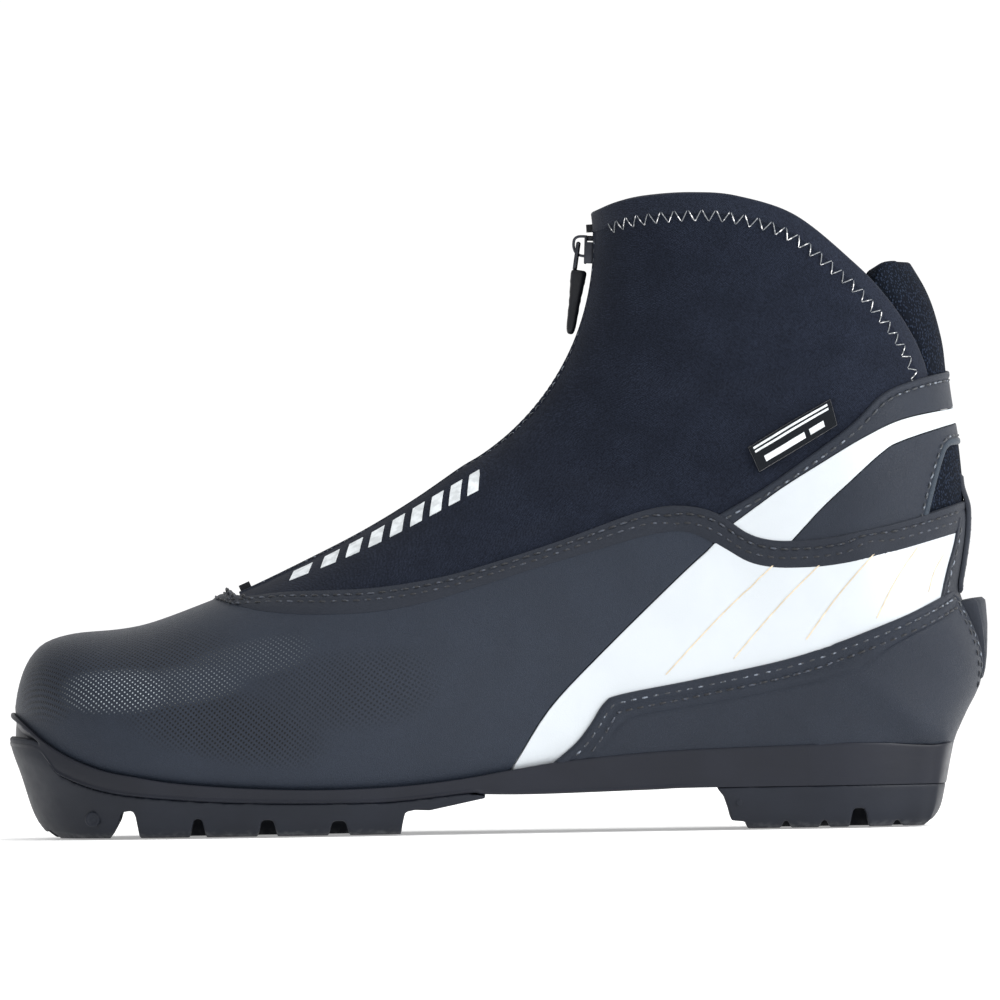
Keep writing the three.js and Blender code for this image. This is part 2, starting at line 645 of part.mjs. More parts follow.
function zipTape(sign) {
  const outline = [[-73, 55], [60, 55], [60, 179.5], [-73, 179.5]];
  const strip = sign < 0 ? [-8.4, -1.6] : [1.6, 8.4];
  const front = [[-73, 40], [-20, 60], [8, 90], [44, 140], [44, 175.4], [-73, 175.4]];
  return shell(TAPE).intersect(across(outline, ...strip)).intersect(across(front));
}

// A box swept along the ridge between two stations, y0 to y1 wide, between two offsets.
function ridgeSweep(u0, u1, y0, y1, inside, outside, steps) {
  const rings = [];
  for (let i = 0; i <= steps; i += 1) {
    const u = lerp(u0, u1, i / steps);
    const low = layerPoint(u, 0, inside);
    const high = layerPoint(u, 0, outside);
    rings.push([
      new THREE.Vector3(low.x, y0, low.z), new THREE.Vector3(low.x, y1, low.z),
      new THREE.Vector3(high.x, y1, high.z), new THREE.Vector3(high.x, y0, high.z),
    ]);
  }
  return loft(rings);
}

const ZIP_BOTTOM_U = THROAT_X + 5 - ZIP_CENTRE.x;
const ZIP_TOP_U = 91 * DEG * FAN_RADIUS;
const SLIDER_DEG = 87.4;

function zipChain(sign) {
  const [y0, y1] = sign < 0 ? [-2.7, -0.15] : [0.15, 2.7];
  return ridgeSweep(ZIP_BOTTOM_U, ZIP_TOP_U, y0, y1, -1.6, 0.3, 46);
}

function zipStop(u0, u1) {
  return ridgeSweep(u0, u1, -3.1, 3.1, -1.9, 0.7, 1);
}

// Pieces on the slider are built with its centre on the ridge at the origin: x towards the toe side
// of the zip's arc, z along the zip, and are then carried to the slider's place.
function onSlider(body) {
  const geometry = geometryOf(body);
  geometry.rotateY((SLIDER_DEG - 90) * -DEG);
  geometry.translate(...aboutZip(SLIDER_DEG, ZIP_RADIUS));
  return solid(geometry);
}

const SLIDER = {
  length: 8.6, width: 8.4, inner: -2.4, outer: 1.4, tunnelWidth: 6.1, tunnelInner: -1.9, tunnelOuter: 0.6,
};
const PIVOT = { out: 3.1, up: 1.6 };
const REST_LEAN = 9; // degrees the pull leans out from upright where its tip rests on the teeth

function sliderBody() {
  const s = SLIDER;
  const tunnel = s.tunnelWidth / 2;
  let body = block(-s.outer, -s.inner, -s.width / 2, s.width / 2, -s.length / 2, s.length / 2);
  body = body.subtract(block(-s.tunnelOuter, -s.tunnelInner, -tunnel, tunnel, -20, 20));
  const arch = block(-PIVOT.out - 1.5, -s.outer + 0.3, -0.9, 0.9, PIVOT.up - 3.4, PIVOT.up + 2);
  const eye = block(-PIVOT.out - 0.85, -PIVOT.out + 0.85, -5, 5, PIVOT.up - 0.9, PIVOT.up + 0.9);
  return onSlider(body.add(arch).subtract(eye));
}

// Pieces of the pull are built hanging straight down from a pivot at the origin.
function onPull(body) {
  const geometry = geometryOf(body);
  geometry.rotateY((REST_LEAN - 90 + SLIDER_DEG) * DEG);
  geometry.translate(-PIVOT.out, 0, PIVOT.up);
  return onSlider(solid(geometry));
}

const LINK = { length: 8.4, wire: 0.55, half: 1.9 };

function pullLink() {
  const { length, wire, half } = LINK;
  const bar = new THREE.CylinderGeometry(wire, wire, 2 * half, 8);
  let body = solid(bar);
  for (const y of [-half, half]) body = body.add(block(-wire, wire, y - wire, y + wire, -length, wire));
  body = body.add(block(-wire, wire, -half - wire, half + wire, -length, -length + 1.2));
  return onPull(body.add(block(-wire, wire, -1.1, 1.1, -length - 6, -length + 0.5)));
}

const GRIP = [
  [0, 1.2, 2], [0.7, 2, 2.7], [3.5, 1.9, 2.7], [9, 1.4, 2.3], [15, 1.35, 2.3], [17, 1, 1.9], [17.6, 0.4, 1],
];

function pullGrip() {
  const rings = GRIP.map(([down, thick, wide]) => {
    const ring = [];
    for (let k = 0; k < 12; k += 1) {
      const a = (k / 12) * 360 * DEG;
      ring.push(new THREE.Vector3(thick * Math.cos(a), wide * Math.sin(a), -LINK.length - 0.3 - down));
    }
    return ring;
  });
  const pocket = block(-LINK.wire - 0.25, LINK.wire + 0.25, -1.4, 1.4, -LINK.length - 6.3, 0);
  return onPull(loft(rings).subtract(pocket));
}

// ---------------------------------------------------------------- lacing

const LACE = { radius: 1.2, offset: -5.35, tailOffset: -6.5, reach: 14.4 };
const LOOP = { length: 3.8, width: 6.7, height: 4.1, slotWidth: 5.1, slotHeight: 3 };
const LOOP_PAIRS = 4;
const LOOP_PITCH = 27;
const loopU = (k, sign) => -8 + LOOP_PITCH * k + (sign > 0 ? LOOP_PITCH / 2 : 0);

// A frame standing on the upper surface at station u, y across: x on along the foot, z outwards.
function frameAt(u, y, offset) {
  const v = vAt(u, y);
  const centre = layerPoint(u, v, offset);
  const ahead = layerPoint(u + 1, v, offset).sub(centre).normalize();
  const out = lastNormal(u, v);
  const side = new THREE.Vector3().crossVectors(out, ahead).normalize();
  return new THREE.Matrix4().makeBasis(ahead, side, out).setPosition(centre);
}

function laceLoop(k, sign) {
  const strap = new THREE.BoxGeometry(LOOP.length, LOOP.width, LOOP.height);
  const slot = new THREE.BoxGeometry(LOOP.length + 2, LOOP.slotWidth, LOOP.slotHeight);
  const placed = frameAt(loopU(k, sign), sign * LACE.reach, LACE.offset);
  return solid(strap.applyMatrix4(placed)).subtract(solid(slot.applyMatrix4(placed)));
}

const TAIL = { from: 68, to: 84 }; // degrees on the zip's arc
const LOCK_DEG = 75;

function lacePath() {
  const points = [];
  const lay = (u, y, offset = LACE.offset) => {
    points.push(new THREE.Vector3().setFromMatrixPosition(frameAt(u, y, offset)));
  };
  for (let k = 0; k < LOOP_PAIRS; k += 1) {
    for (const sign of [-1, 1]) {
      const u = loopU(k, sign);
      const y = sign * LACE.reach;
      if (k > 0 || sign > 0) lay(u - 4.9, y * 0.9);
      for (const step of [-2, 2]) lay(u + step, y * 0.99);
      lay(u + 4.9, y * 0.9);
      if (k < LOOP_PAIRS - 1 || sign < 0) lay(u + LOOP_PITCH / 4, 0);
    }
  }
  const last = loopU(LOOP_PAIRS - 1, 1);
  lay(last + 14, LACE.reach * 0.45, -5.8);
  lay(last + 30, LACE.reach * 0.1, LACE.tailOffset);
  for (let a = TAIL.from; a <= TAIL.to; a += 4) points.push(aboutZip(a, ZIP_RADIUS - LACE.tailOffset));
  return new THREE.CatmullRomCurve3(points, false, 'centripetal');
}

function lace() {
  const path = lacePath();
  const steps = 120;
  const frames = path.computeFrenetFrames(steps, false);
  const rings = [];
  for (let i = 0; i <= steps; i += 1) {
    const centre = path.getPointAt(i / steps);
    const ring = [];
    for (let k = 0; k < 6; k += 1) {
      const a = (k / 6) * 360 * DEG;
      ring.push(centre.clone().addScaledVector(frames.normals[i], LACE.radius * Math.cos(a))
        .addScaledVector(frames.binormals[i], LACE.radius * Math.sin(a)));
    }
    rings.push(ring);
  }
  return loft(rings);
}

function onLock(body) {
  const geometry = geometryOf(body);
  geometry.rotateY((LOCK_DEG - 90) * -DEG);
  geometry.translate(...aboutZip(LOCK_DEG, ZIP_RADIUS - LACE.tailOffset));
  return solid(geometry);
}

function laceLock() {
  const tunnel = new THREE.CylinderGeometry(1.45, 1.45, 30, 12);
  tunnel.rotateX(90 * DEG);
  const body = block(-1.7, 1.7, -4, 4.8, -5, 5).subtract(solid(tunnel));
  return onLock(body.subtract(block(-1.2, 1.2, 2.1, 20, -2.4, 2.4)));
}

function lockButton() {
  return onLock(block(-0.9, 0.9, 3.4, 7, -2.1, 2.1));
}

// ---------------------------------------------------------------- label

function wovenLabel() {
  const outline = [[73.4, 110.6], [77, 104.2], [98.6, 117.8], [96.4, 124.2]];
  return shell([-0.5, 0.2]).intersect(across(outline)).intersect(OUTER_SIDE);
}

// ---------------------------------------------------------------- assembly

const FINISH = {
  rubber: [0x1d2026, 0.65, 0],
  chassis: [0x17191d, 0.4, 0],
  leather: [0x32363e, 0.55, 0],
  white: [0xe9f0f2, 0.45, 0],
  softshell: [0x14171f, 0.95, 0],
  textured: [0x1b2024, 0.9, 0],
  lining: [0x24262b, 0.95, 0],
  board: [0x8a7d66, 0.9, 0],
  steel: [0x9a9da1, 0.3, 1],
  plastic: [0x101114, 0.5, 0],
  webbing: [0x2b2e34, 0.85, 0],
};

const boot = new THREE.Group();

function add(name, finish, body) {
  const [color, roughness, metalness] = FINISH[finish];
  const [main] = body.simplify(FIT).decompose().sort((a, b) => b.volume() - a.volume());
  const material = new THREE.MeshStandardMaterial({ color, roughness, metalness });
  const mesh = new THREE.Mesh(geometryOf(main), material);
  mesh.name = name;
  boot.add(mesh);
}

add('sole_chassis', 'chassis', soleChassis());
add('forefoot_outsole', 'rubber', forefootOutsole());
add('heel_outsole', 'rubber', heelOutsole());
add('toe_bar', 'steel', barRod(BAR.radius).intersect(SOLE));
add('insole_board', 'board', insoleBoard());
add('steel_shank', 'steel', steelShank());
add('footbed', 'lining', footbed());
add('lining', 'lining', lining());
add('collar_pad', 'textured', collarPad());
add('tongue', 'lining', tongue());
add('toe_puff', 'board', toePuff());
add('heel_stiffener', 'board', heelStiffener());
add('vamp', 'leather', vamp());
add('heel_spoiler', 'leather', heelSpoiler());
add('backstay', 'webbing', backstay());
add('cuff_band', 'leather', cuffBand());
add('cuff_stripe', 'white', cuffStripe());
add('ankle_quarter', 'leather', ankleQuarter());
for (const [label, side, sign] of [['outer', OUTER_SIDE, -1], ['inner', INNER_SIDE, 1]]) {
  add(`quarter_${label}`, 'white', whiteQuarter(side));
  add(`heel_counter_${label}`, 'leather', heelCounter(side));
  add(`lace_cover_${label}`, 'softshell', laceCover(sign));
  add(`cover_hem_${label}`, 'softshell', coverHem(sign));
  add(`zip_tape_${label}`, 'webbing', zipTape(sign));
  add(`zip_teeth_${label}`, 'plastic', zipChain(sign));
  for (let k = 0; k < LOOP_PAIRS; k += 1) add(`lace_loop_${label}_${k + 1}`, 'webbing', laceLoop(k, sign));
}
add('zip_top_stop', 'plastic', zipStop(ZIP_TOP_U + 0.6, ZIP_TOP_U + 4.4));
add('zip_bottom_stop', 'plastic', zipStop(ZIP_BOTTOM_U - 3.3, ZIP_BOTTOM_U - 0.3));
add('zip_slider', 'steel', sliderBody());
add('pull_link', 'steel', pullLink());
add('pull_grip', 'plastic', pullGrip());
add('lace', 'webbing', lace());
add('lace_lock', 'plastic', laceLock());
add('lock_button', 'plastic', lockButton());
add('woven_label', 'webbing', wovenLabel());

export default boot;
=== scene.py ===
import functools
import math

import bmesh
import bpy
import numpy as np
from mathutils import Matrix, Vector


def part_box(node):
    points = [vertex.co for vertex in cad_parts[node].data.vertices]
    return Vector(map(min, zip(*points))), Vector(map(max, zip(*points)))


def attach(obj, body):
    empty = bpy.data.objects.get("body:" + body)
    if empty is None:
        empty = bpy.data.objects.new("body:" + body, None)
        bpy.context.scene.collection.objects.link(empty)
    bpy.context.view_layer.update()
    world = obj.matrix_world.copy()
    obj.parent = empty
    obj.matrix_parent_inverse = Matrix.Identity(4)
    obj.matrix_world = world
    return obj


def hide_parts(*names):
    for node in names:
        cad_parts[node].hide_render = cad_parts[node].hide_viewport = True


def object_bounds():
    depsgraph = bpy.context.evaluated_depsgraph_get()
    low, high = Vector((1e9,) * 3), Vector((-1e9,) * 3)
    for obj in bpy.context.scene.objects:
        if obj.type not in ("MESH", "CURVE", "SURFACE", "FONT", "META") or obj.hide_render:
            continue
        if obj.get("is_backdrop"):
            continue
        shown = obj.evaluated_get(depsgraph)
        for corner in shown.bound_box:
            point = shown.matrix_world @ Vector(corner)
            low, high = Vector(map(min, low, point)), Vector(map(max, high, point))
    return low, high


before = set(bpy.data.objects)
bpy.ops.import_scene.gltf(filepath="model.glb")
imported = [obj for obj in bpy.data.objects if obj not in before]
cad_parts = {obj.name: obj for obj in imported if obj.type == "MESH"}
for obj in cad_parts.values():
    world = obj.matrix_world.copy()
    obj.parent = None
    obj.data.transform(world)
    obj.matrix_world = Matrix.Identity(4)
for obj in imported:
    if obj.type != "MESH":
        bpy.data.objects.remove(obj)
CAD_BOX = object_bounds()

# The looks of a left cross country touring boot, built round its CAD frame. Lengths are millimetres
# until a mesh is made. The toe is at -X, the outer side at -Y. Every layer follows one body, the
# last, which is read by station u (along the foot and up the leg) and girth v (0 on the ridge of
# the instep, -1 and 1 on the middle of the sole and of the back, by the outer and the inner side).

MM = 0.001
OUTER, INNER = -1, 1
SIDE_NAMES = {OUTER: "outer", INNER: "inner"}

# ---------------------------------------------------------------- the last

ZIP_CENTRE = (-45.2, 171.4)
ZIP_RADIUS = 73.4
FAN_RADIUS = 120
FAN_TOP = 100
TOE = (-140.4, 38)
HEEL_CORNER = (129.2, 22.6)
TOE_SWING = 4.5
ZIP_ARC_FROM = 28
U_TIP = TOE[0] - ZIP_CENTRE[0]
U_TOP = math.radians(FAN_TOP) * FAN_RADIUS

# The boot's lines in the side view, as [x, z]. The first two are the last's own outline.
INSTEP = [
    TOE, (-139.4, 43.5), (-137.6, 49), (-134.8, 53.6), (-130.6, 57), (-122.6, 59.2), (-110, 60.2),
    (-100.8, 61.9), (-88, 66.3), (-74.6, 71.6), (-57, 79.8), (-39.5, 88.5), (-24, 97.6),
]
SOLE_AND_BACK = [
    TOE, (-139.7, 34), (-136.8, 29.5), (-131.6, 25.6), (-125.5, 22.4), (-112.6, 17.9), (-93.3, 14.7),
    (-67.4, 12.7), (-43.6, 12.3), (-19.2, 13.7), (2.8, 16.7), (32.7, 20), (69.5, 21.6), (108, 22),
    (122, 22), HEEL_CORNER, (131.4, 27), (134.8, 34), (138, 40), (139.3, 46), (138.8, 52), (136.6, 59),
    (134.1, 65), (133.4, 69), (134.6, 76), (135.9, 85), (136, 93), (135.4, 102), (134.4, 112),
    (132.8, 122), (131.6, 131), (130.2, 141), (127.2, 152), (122.6, 161), (114, 174), (100, 190), (88, 200),
]
SOLE_LINE = [
    (-146, 39.5), (-140.5, 36.4), (-136.4, 33.1), (-131.9, 29.1), (-125.5, 24.9), (-119.2, 22),
    (-112.6, 19.9), (-93.3, 16.5), (-67.4, 14.5), (-43.6, 14.1), (-19.2, 15.5), (2.8, 18.7), (19.7, 21.1),
    (43.6, 23.1), (69.5, 24.1), (108.3, 24.8), (131, 24.4), (146, 24.4),
]
TOPLINE = [
    (-77.2, 72.5), (-76.4, 69.9), (-73.2, 68.9), (-60.1, 70.2), (-36.6, 71), (-16.5, 73.9), (0.9, 78.5),
    (18.4, 84), (41.8, 92.1), (53.4, 93.6), (63.5, 91.4), (72.1, 85.7), (77.9, 83.6), (85.1, 83),
    (96.7, 83.9), (111.4, 86.7), (123.3, 89.7), (135.3, 93.4), (146, 96.6),
]
STRAP_LOWER = [
    (-82.5, 68.6), (-80.5, 68.3), (-77.5, 67.4), (-68.9, 65.2), (-57.3, 64), (-42.8, 63.9), (-31.2, 64.9),
    (-19.5, 67.2), (-5, 71.3), (12.5, 76.6), (30, 81.5), (44.6, 85.4), (53.3, 86.2), (59, 84.6),
    (66.2, 80.6), (72, 77.1), (77.8, 75.4), (85, 74.9), (96.6, 75.5), (111.2, 78.2), (136.5, 85.1), (146, 88),
]
WHITE_FRONT = [
    (2.6, 17.2), (5.9, 22.7), (14.8, 36.2), (29.5, 51.4), (51.6, 72.5), (60.6, 80.6), (63.6, 83.4),
]
WHITE_LOWER = [
    (2.9, 16.6), (16, 18.5), (26, 24), (38, 33), (60, 38), (90, 45), (115, 51), (128, 53), (146, 53),
]
COUNTER_TOP = [
    (15.4, 20.2), (21.9, 25.6), (26.3, 31.1), (30.2, 36.9), (35, 39.4), (58.4, 43.7), (87.5, 49.9),
    (113.8, 59.3), (126, 64.8), (130.4, 67.2),
]
CUFF_TOP = [
    (63.6, 90.4), (76.7, 97.8), (88.4, 105.7), (103, 116.2), (111.9, 124.6), (120.7, 128.5), (131.4, 131),
    (146, 133),
]
STRIPE_TOP = [
    (68, 88), (82.5, 98.2), (94.2, 105.4), (105.9, 112.2), (117.6, 117.5), (132.4, 120.5), (146, 122.6),
]
STRIPE_LOWER = [
    (84.4, 82), (94, 92.1), (102.8, 100.1), (111.6, 107.8), (117.5, 111.2), (133, 115.9), (146, 118.6),
]
ANKLE_REAR = [
    (122.6, 84.5), (123.4, 88), (126.2, 98.5), (128.7, 106.5), (130.6, 110.4), (134, 111.6), (146, 111.2),
]
HEM_TOP = [
    (20, 175.4), (28.3, 179), (35.9, 181.7), (44.7, 183.2), (57.7, 184), (70.8, 183.1), (88.1, 177.6),
    (105.2, 163.6), (113.8, 154.4), (121, 144), (125.5, 134), (126.6, 127.5),
]
LEDGE = [
    (-146, 28), (-140, 27.9), (-133.5, 26.6), (-130.4, 22.6), (-126.5, 18), (-113, 13.2), (-93.5, 10.9),
    (-72.7, 9.7), (-43.7, 9.2), (-29, 9.6), (-9, 11.6), (-4.2, 11.2), (12, 11), (43, 11.7), (62, 12.1),
    (146, 12.1),
]

# Along the foot: u, outer half width, inner half width, where the widest point lies from the instep
# (0) to the sole (1), and the roundness above and below it.
STATIONS = [
    (-95.2, 46, 46, 0.6, 2.3, 2.2), (-80, 46, 46, 0.64, 2.35, 2.3), (-60, 46, 46, 0.7, 2.3, 2.4),
    (-40, 46.5, 46.5, 0.74, 2.15, 2.4), (-20, 47.6, 46.4, 0.75, 2.0, 2.4), (0, 47.4, 44.6, 0.76, 1.95, 2.4),
    (21, 45.6, 41.6, 0.76, 1.95, 2.4), (42, 42.6, 39.6, 0.76, 2.0, 2.4), (63, 40, 38.4, 0.75, 2.05, 2.4),
    (84, 38.4, 37.6, 0.74, 2.1, 2.3), (105, 37.4, 37, 0.72, 2.15, 2.1), (126, 36.8, 36.6, 0.7, 2.15, 2),
    (147, 36.2, 36, 0.64, 2.1, 2), (168, 35, 35, 0.58, 2.1, 2), (190, 34.4, 34.4, 0.55, 2.1, 2),
    (212, 34, 34, 0.55, 2.1, 2),
]
TOE_ROUND_FROM, TOE_ROUND_POWER = -85, 2.3
HEEL_ROUND_FROM, HEEL_ROUND_POWER = 94, 2.2
HEEL_BLEND, HEEL_CLOSING, HEEL_CLOSING_POWER = 14, 8, 7
# The sole's flat: its inset from the widest line, its greatest share of the width, its half width at
# the heel, and what is added to that ahead of the heel.
SOLE_INSET, SOLE_SHARE, HEEL_HALF, AHEAD_OF_HEEL = 4, 0.98, 34, 40
SPAN_POINTS = 12


def catmull(points, at):
    """A smooth line through the points, read at any places from 0 to the number of spans."""
    p = np.array(points, float)
    i = np.minimum(at.astype(int), len(p) - 2)
    w = (at - i)[:, None]
    p0, p1, p2, p3 = p[np.maximum(i - 1, 0)], p[i], p[i + 1], p[np.minimum(i + 2, len(p) - 1)]
    v0, v1 = (p2 - p0) / 2, (p3 - p1) / 2
    return (2 * p1 - 2 * p2 + v0 + v1) * w**3 + (3 * p2 - 3 * p1 - 2 * v0 - v1) * w**2 + v0 * w + p1


def smooth(points, per_span=16):
    return catmull(points, np.linspace(0, len(points) - 1, (len(points) - 1) * per_span + 1))


def fan_of(x, z):
    dx, dz = x - ZIP_CENTRE[0], ZIP_CENTRE[1] - z
    return np.where(dx <= 0, dx, np.arctan2(dx, dz) * FAN_RADIUS), np.where(dx <= 0, dz, np.hypot(dx, dz))


def point_of(u, r):
    angle = np.maximum(u, 0) / FAN_RADIUS
    return ZIP_CENTRE[0] + np.minimum(u, 0) + r * np.sin(angle), ZIP_CENTRE[1] - r * np.cos(angle)


def radius_table(points):
    line = smooth(points)
    return fan_of(line[:, 0], line[:, 1])


ZIP_ARC = [
    (ZIP_CENTRE[0] + ZIP_RADIUS * math.sin(angle), ZIP_CENTRE[1] - ZIP_RADIUS * math.cos(angle))
    for angle in map(math.radians, range(ZIP_ARC_FROM, FAN_TOP + 5, 4))
]
INNER_TABLE = radius_table(INSTEP + ZIP_ARC)
OUTER_TABLE = radius_table(SOLE_AND_BACK)
U_HEEL = float(fan_of(np.array(HEEL_CORNER[0]), np.array(HEEL_CORNER[1]))[0])
STATION_TABLE = catmull(STATIONS, np.linspace(0, len(STATIONS) - 1, 161)).T


def inner_radius(u):
    return np.interp(u, *INNER_TABLE)


def outer_radius(u):
    return np.interp(u, *OUTER_TABLE)


def ease(x):
    x = np.clip(x, 0, 1)
    return x * x * (3 - 2 * x)


def round_off(share, power):
    return np.maximum(0, 1 - np.clip(share, 0, 1) ** power) ** (1 / power)


def heel_round(x):
    """The share of its width that the heel keeps at x, as it rounds off to its corner."""
    return round_off((x - HEEL_ROUND_FROM) / (HEEL_CORNER[0] - HEEL_ROUND_FROM), HEEL_ROUND_POWER)


def heel_flat():
    """Half width of the sole's flat past the heel's corner, faded out smoothly."""
    u = np.linspace(U_HEEL - HEEL_BLEND, U_HEEL + HEEL_BLEND, 57)
    at_start = HEEL_HALF * heel_round(point_of(u[0], outer_radius(u[0]))[0])
    share = (u - u[0]) / (u[-1] - u[0])
    return u, at_start * (1 - share**2) ** 2


HEEL_FLAT = heel_flat()


def half_width(u, t, side):
    """Half width of the last on one side at station u, t of the way down from instep to sole."""
    outer, inner, widest, upper, lower = (np.interp(u, STATION_TABLE[0], c) for c in STATION_TABLE[1:])
    toe = round_off((TOE_ROUND_FROM - ZIP_CENTRE[0] - u) / (TOE_ROUND_FROM - TOE[0]), TOE_ROUND_POWER)
    width = np.where(side < 0, outer, inner) * toe
    sole_x = point_of(u, outer_radius(u))[0]
    by_heel = HEEL_HALF * heel_round(sole_x) + AHEAD_OF_HEEL * (sole_x < HEEL_ROUND_FROM)
    flat = np.minimum((width - SOLE_INSET * toe) * SOLE_SHARE, by_heel)
    below_share = (t - widest) / (1 - widest)
    sole = np.where(u >= U_HEEL - HEEL_BLEND, np.interp(u, *HEEL_FLAT), flat)
    closed = 1 - (1 - round_off(below_share, HEEL_CLOSING_POWER)) * ease((u - U_HEEL) / HEEL_CLOSING + 1)
    above = width * round_off((widest - t) / widest, upper)
    below = sole * closed + (width - sole) * round_off(below_share, lower)
    return np.where(t <= widest, above, below)


def last_point(u, v):
    wrapped = np.where(v > 1, v - 2, np.where(v < -1, v + 2, v))
    side = np.where(wrapped < 0, -1, 1)
    t = (1 - np.cos(np.pi * np.abs(wrapped))) / 2
    near, far = inner_radius(u), outer_radius(u)
    x, z = point_of(u, near + (far - near) * t)
    swing = TOE_SWING * (np.minimum(0, u) / U_TIP) ** 2
    return np.stack([x, swing + side * half_width(u, t, side), z], -1)


def unit(vectors):
    return vectors / np.maximum(np.linalg.norm(vectors, axis=-1, keepdims=True), 1e-9)


def slopes(u, v):
    """How the last's point moves per step of u and of v."""
    du, dv = np.clip(np.minimum(0.4, u - U_TIP), 1e-3, None), 0.004
    along_u = (last_point(u + du, v) - last_point(u - du, v)) / (2 * du)[..., None]
    along_v = (last_point(u, v + dv) - last_point(u, v - dv)) / (2 * dv)
    return along_u, along_v


def last_normal(u, v):
    normal = unit(np.cross(*slopes(u, v)))
    return np.where((u <= U_TIP + 1e-3)[..., None], np.array([-1.0, 0, 0]), normal)


def layer_point(u, v, offset):
    return last_point(u, v) + last_normal(u, v) * np.broadcast_to(offset, u.shape)[..., None]


# ---------------------------------------------------------------- lines on the last, as (u, |v|)


def laid(line):
    """A side-view line, [x, z], laid on the last, and its share of the way down from the instep."""
    u, r = fan_of(line[:, 0], line[:, 1])
    t = (r - inner_radius(u)) / (outer_radius(u) - inner_radius(u))
    return np.stack([u, np.arccos(1 - 2 * np.clip(t, 0, 1)) / np.pi], -1), t


def on_last(points):
    return laid(smooth(points, SPAN_POINTS))[0]


def beside_ridge(u, y):
    """The line at distance y from the middle plane, over the stations u."""
    low, high = np.zeros_like(u), np.full_like(u, 0.5)
    for _ in range(22):
        mid = (low + high) / 2
        narrow = half_width(u, (1 - np.cos(np.pi * mid)) / 2, OUTER) < y
        low, high = np.where(narrow, mid, low), np.where(narrow, high, mid)
    return np.stack([u, low], -1)


def spot_at(y, z, u, v):
    """The (u, |v|) of the point of the last with that y and z, found from a near guess."""
    u, v = np.array(u, float), np.array(v, float)
    for _ in range(12):
        point = last_point(u, v)
        along_u, along_v = slopes(u, v)
        dy, dz = y - point[..., 1], z - point[..., 2]
        det = along_u[..., 1] * along_v[..., 2] - along_u[..., 2] * along_v[..., 1]
        u = u + np.clip((dy * along_v[..., 2] - dz * along_v[..., 1]) / det, -4, 4)
        v = v + np.clip((dz * along_u[..., 1] - dy * along_u[..., 2]) / det, -0.04, 0.04)
        v = np.clip(v, 0.3, 0.999)
    return np.stack([u, v], -1)


def cut(line, keep):
    """The part of a line whose side-view points pass a test of x and z."""
    points = last_point(line[:, 0], line[:, 1])
    return line[keep(points[:, 0], points[:, 2])]


def lengths(line):
    points = last_point(line[:, 0], line[:, 1])
    return np.concatenate([[0], np.cumsum(np.linalg.norm(np.diff(points, axis=0), axis=1))])


def along(line, share):
    at = lengths(line) + np.arange(len(line)) * 1e-6
    at = at / at[-1]
    return np.stack([np.interp(share, at, line[:, k]) for k in (0, 1)], -1)


def even(line, count):
    """The line with that many points, at even distances."""
    return along(line, np.linspace(0, 1, count))


SHIFT_STEPS = 4


def shifted(line, distance):
    """The line moved sideways over the surface: towards the sole if it runs from toe to heel, and
    towards the heel if it runs upward."""
    line = np.array(line, float)
    for _ in range(SHIFT_STEPS):
        points = last_point(line[:, 0], line[:, 1])
        tangent = unit(np.gradient(points, axis=0))
        along_u, along_v = slopes(line[:, 0], line[:, 1])
        sideways = unit(np.cross(unit(np.cross(along_u, along_v)), tangent)) * distance / SHIFT_STEPS
        a, b, c = (along_u**2).sum(-1), (along_u * along_v).sum(-1), (along_v**2).sum(-1)
        p, q = (along_u * sideways).sum(-1), (along_v * sideways).sum(-1)
        det = a * c - b * b
        line = line + np.stack([(p * c - q * b) / det, (a * q - b * p) / det], -1)
    return line


RELAX_GRID = (61, 41)
RELAX_STEPS, RELAX_SHARE = 1500, 0.9
GIRTH = 150
FINE = np.linspace(0, 1, 13)


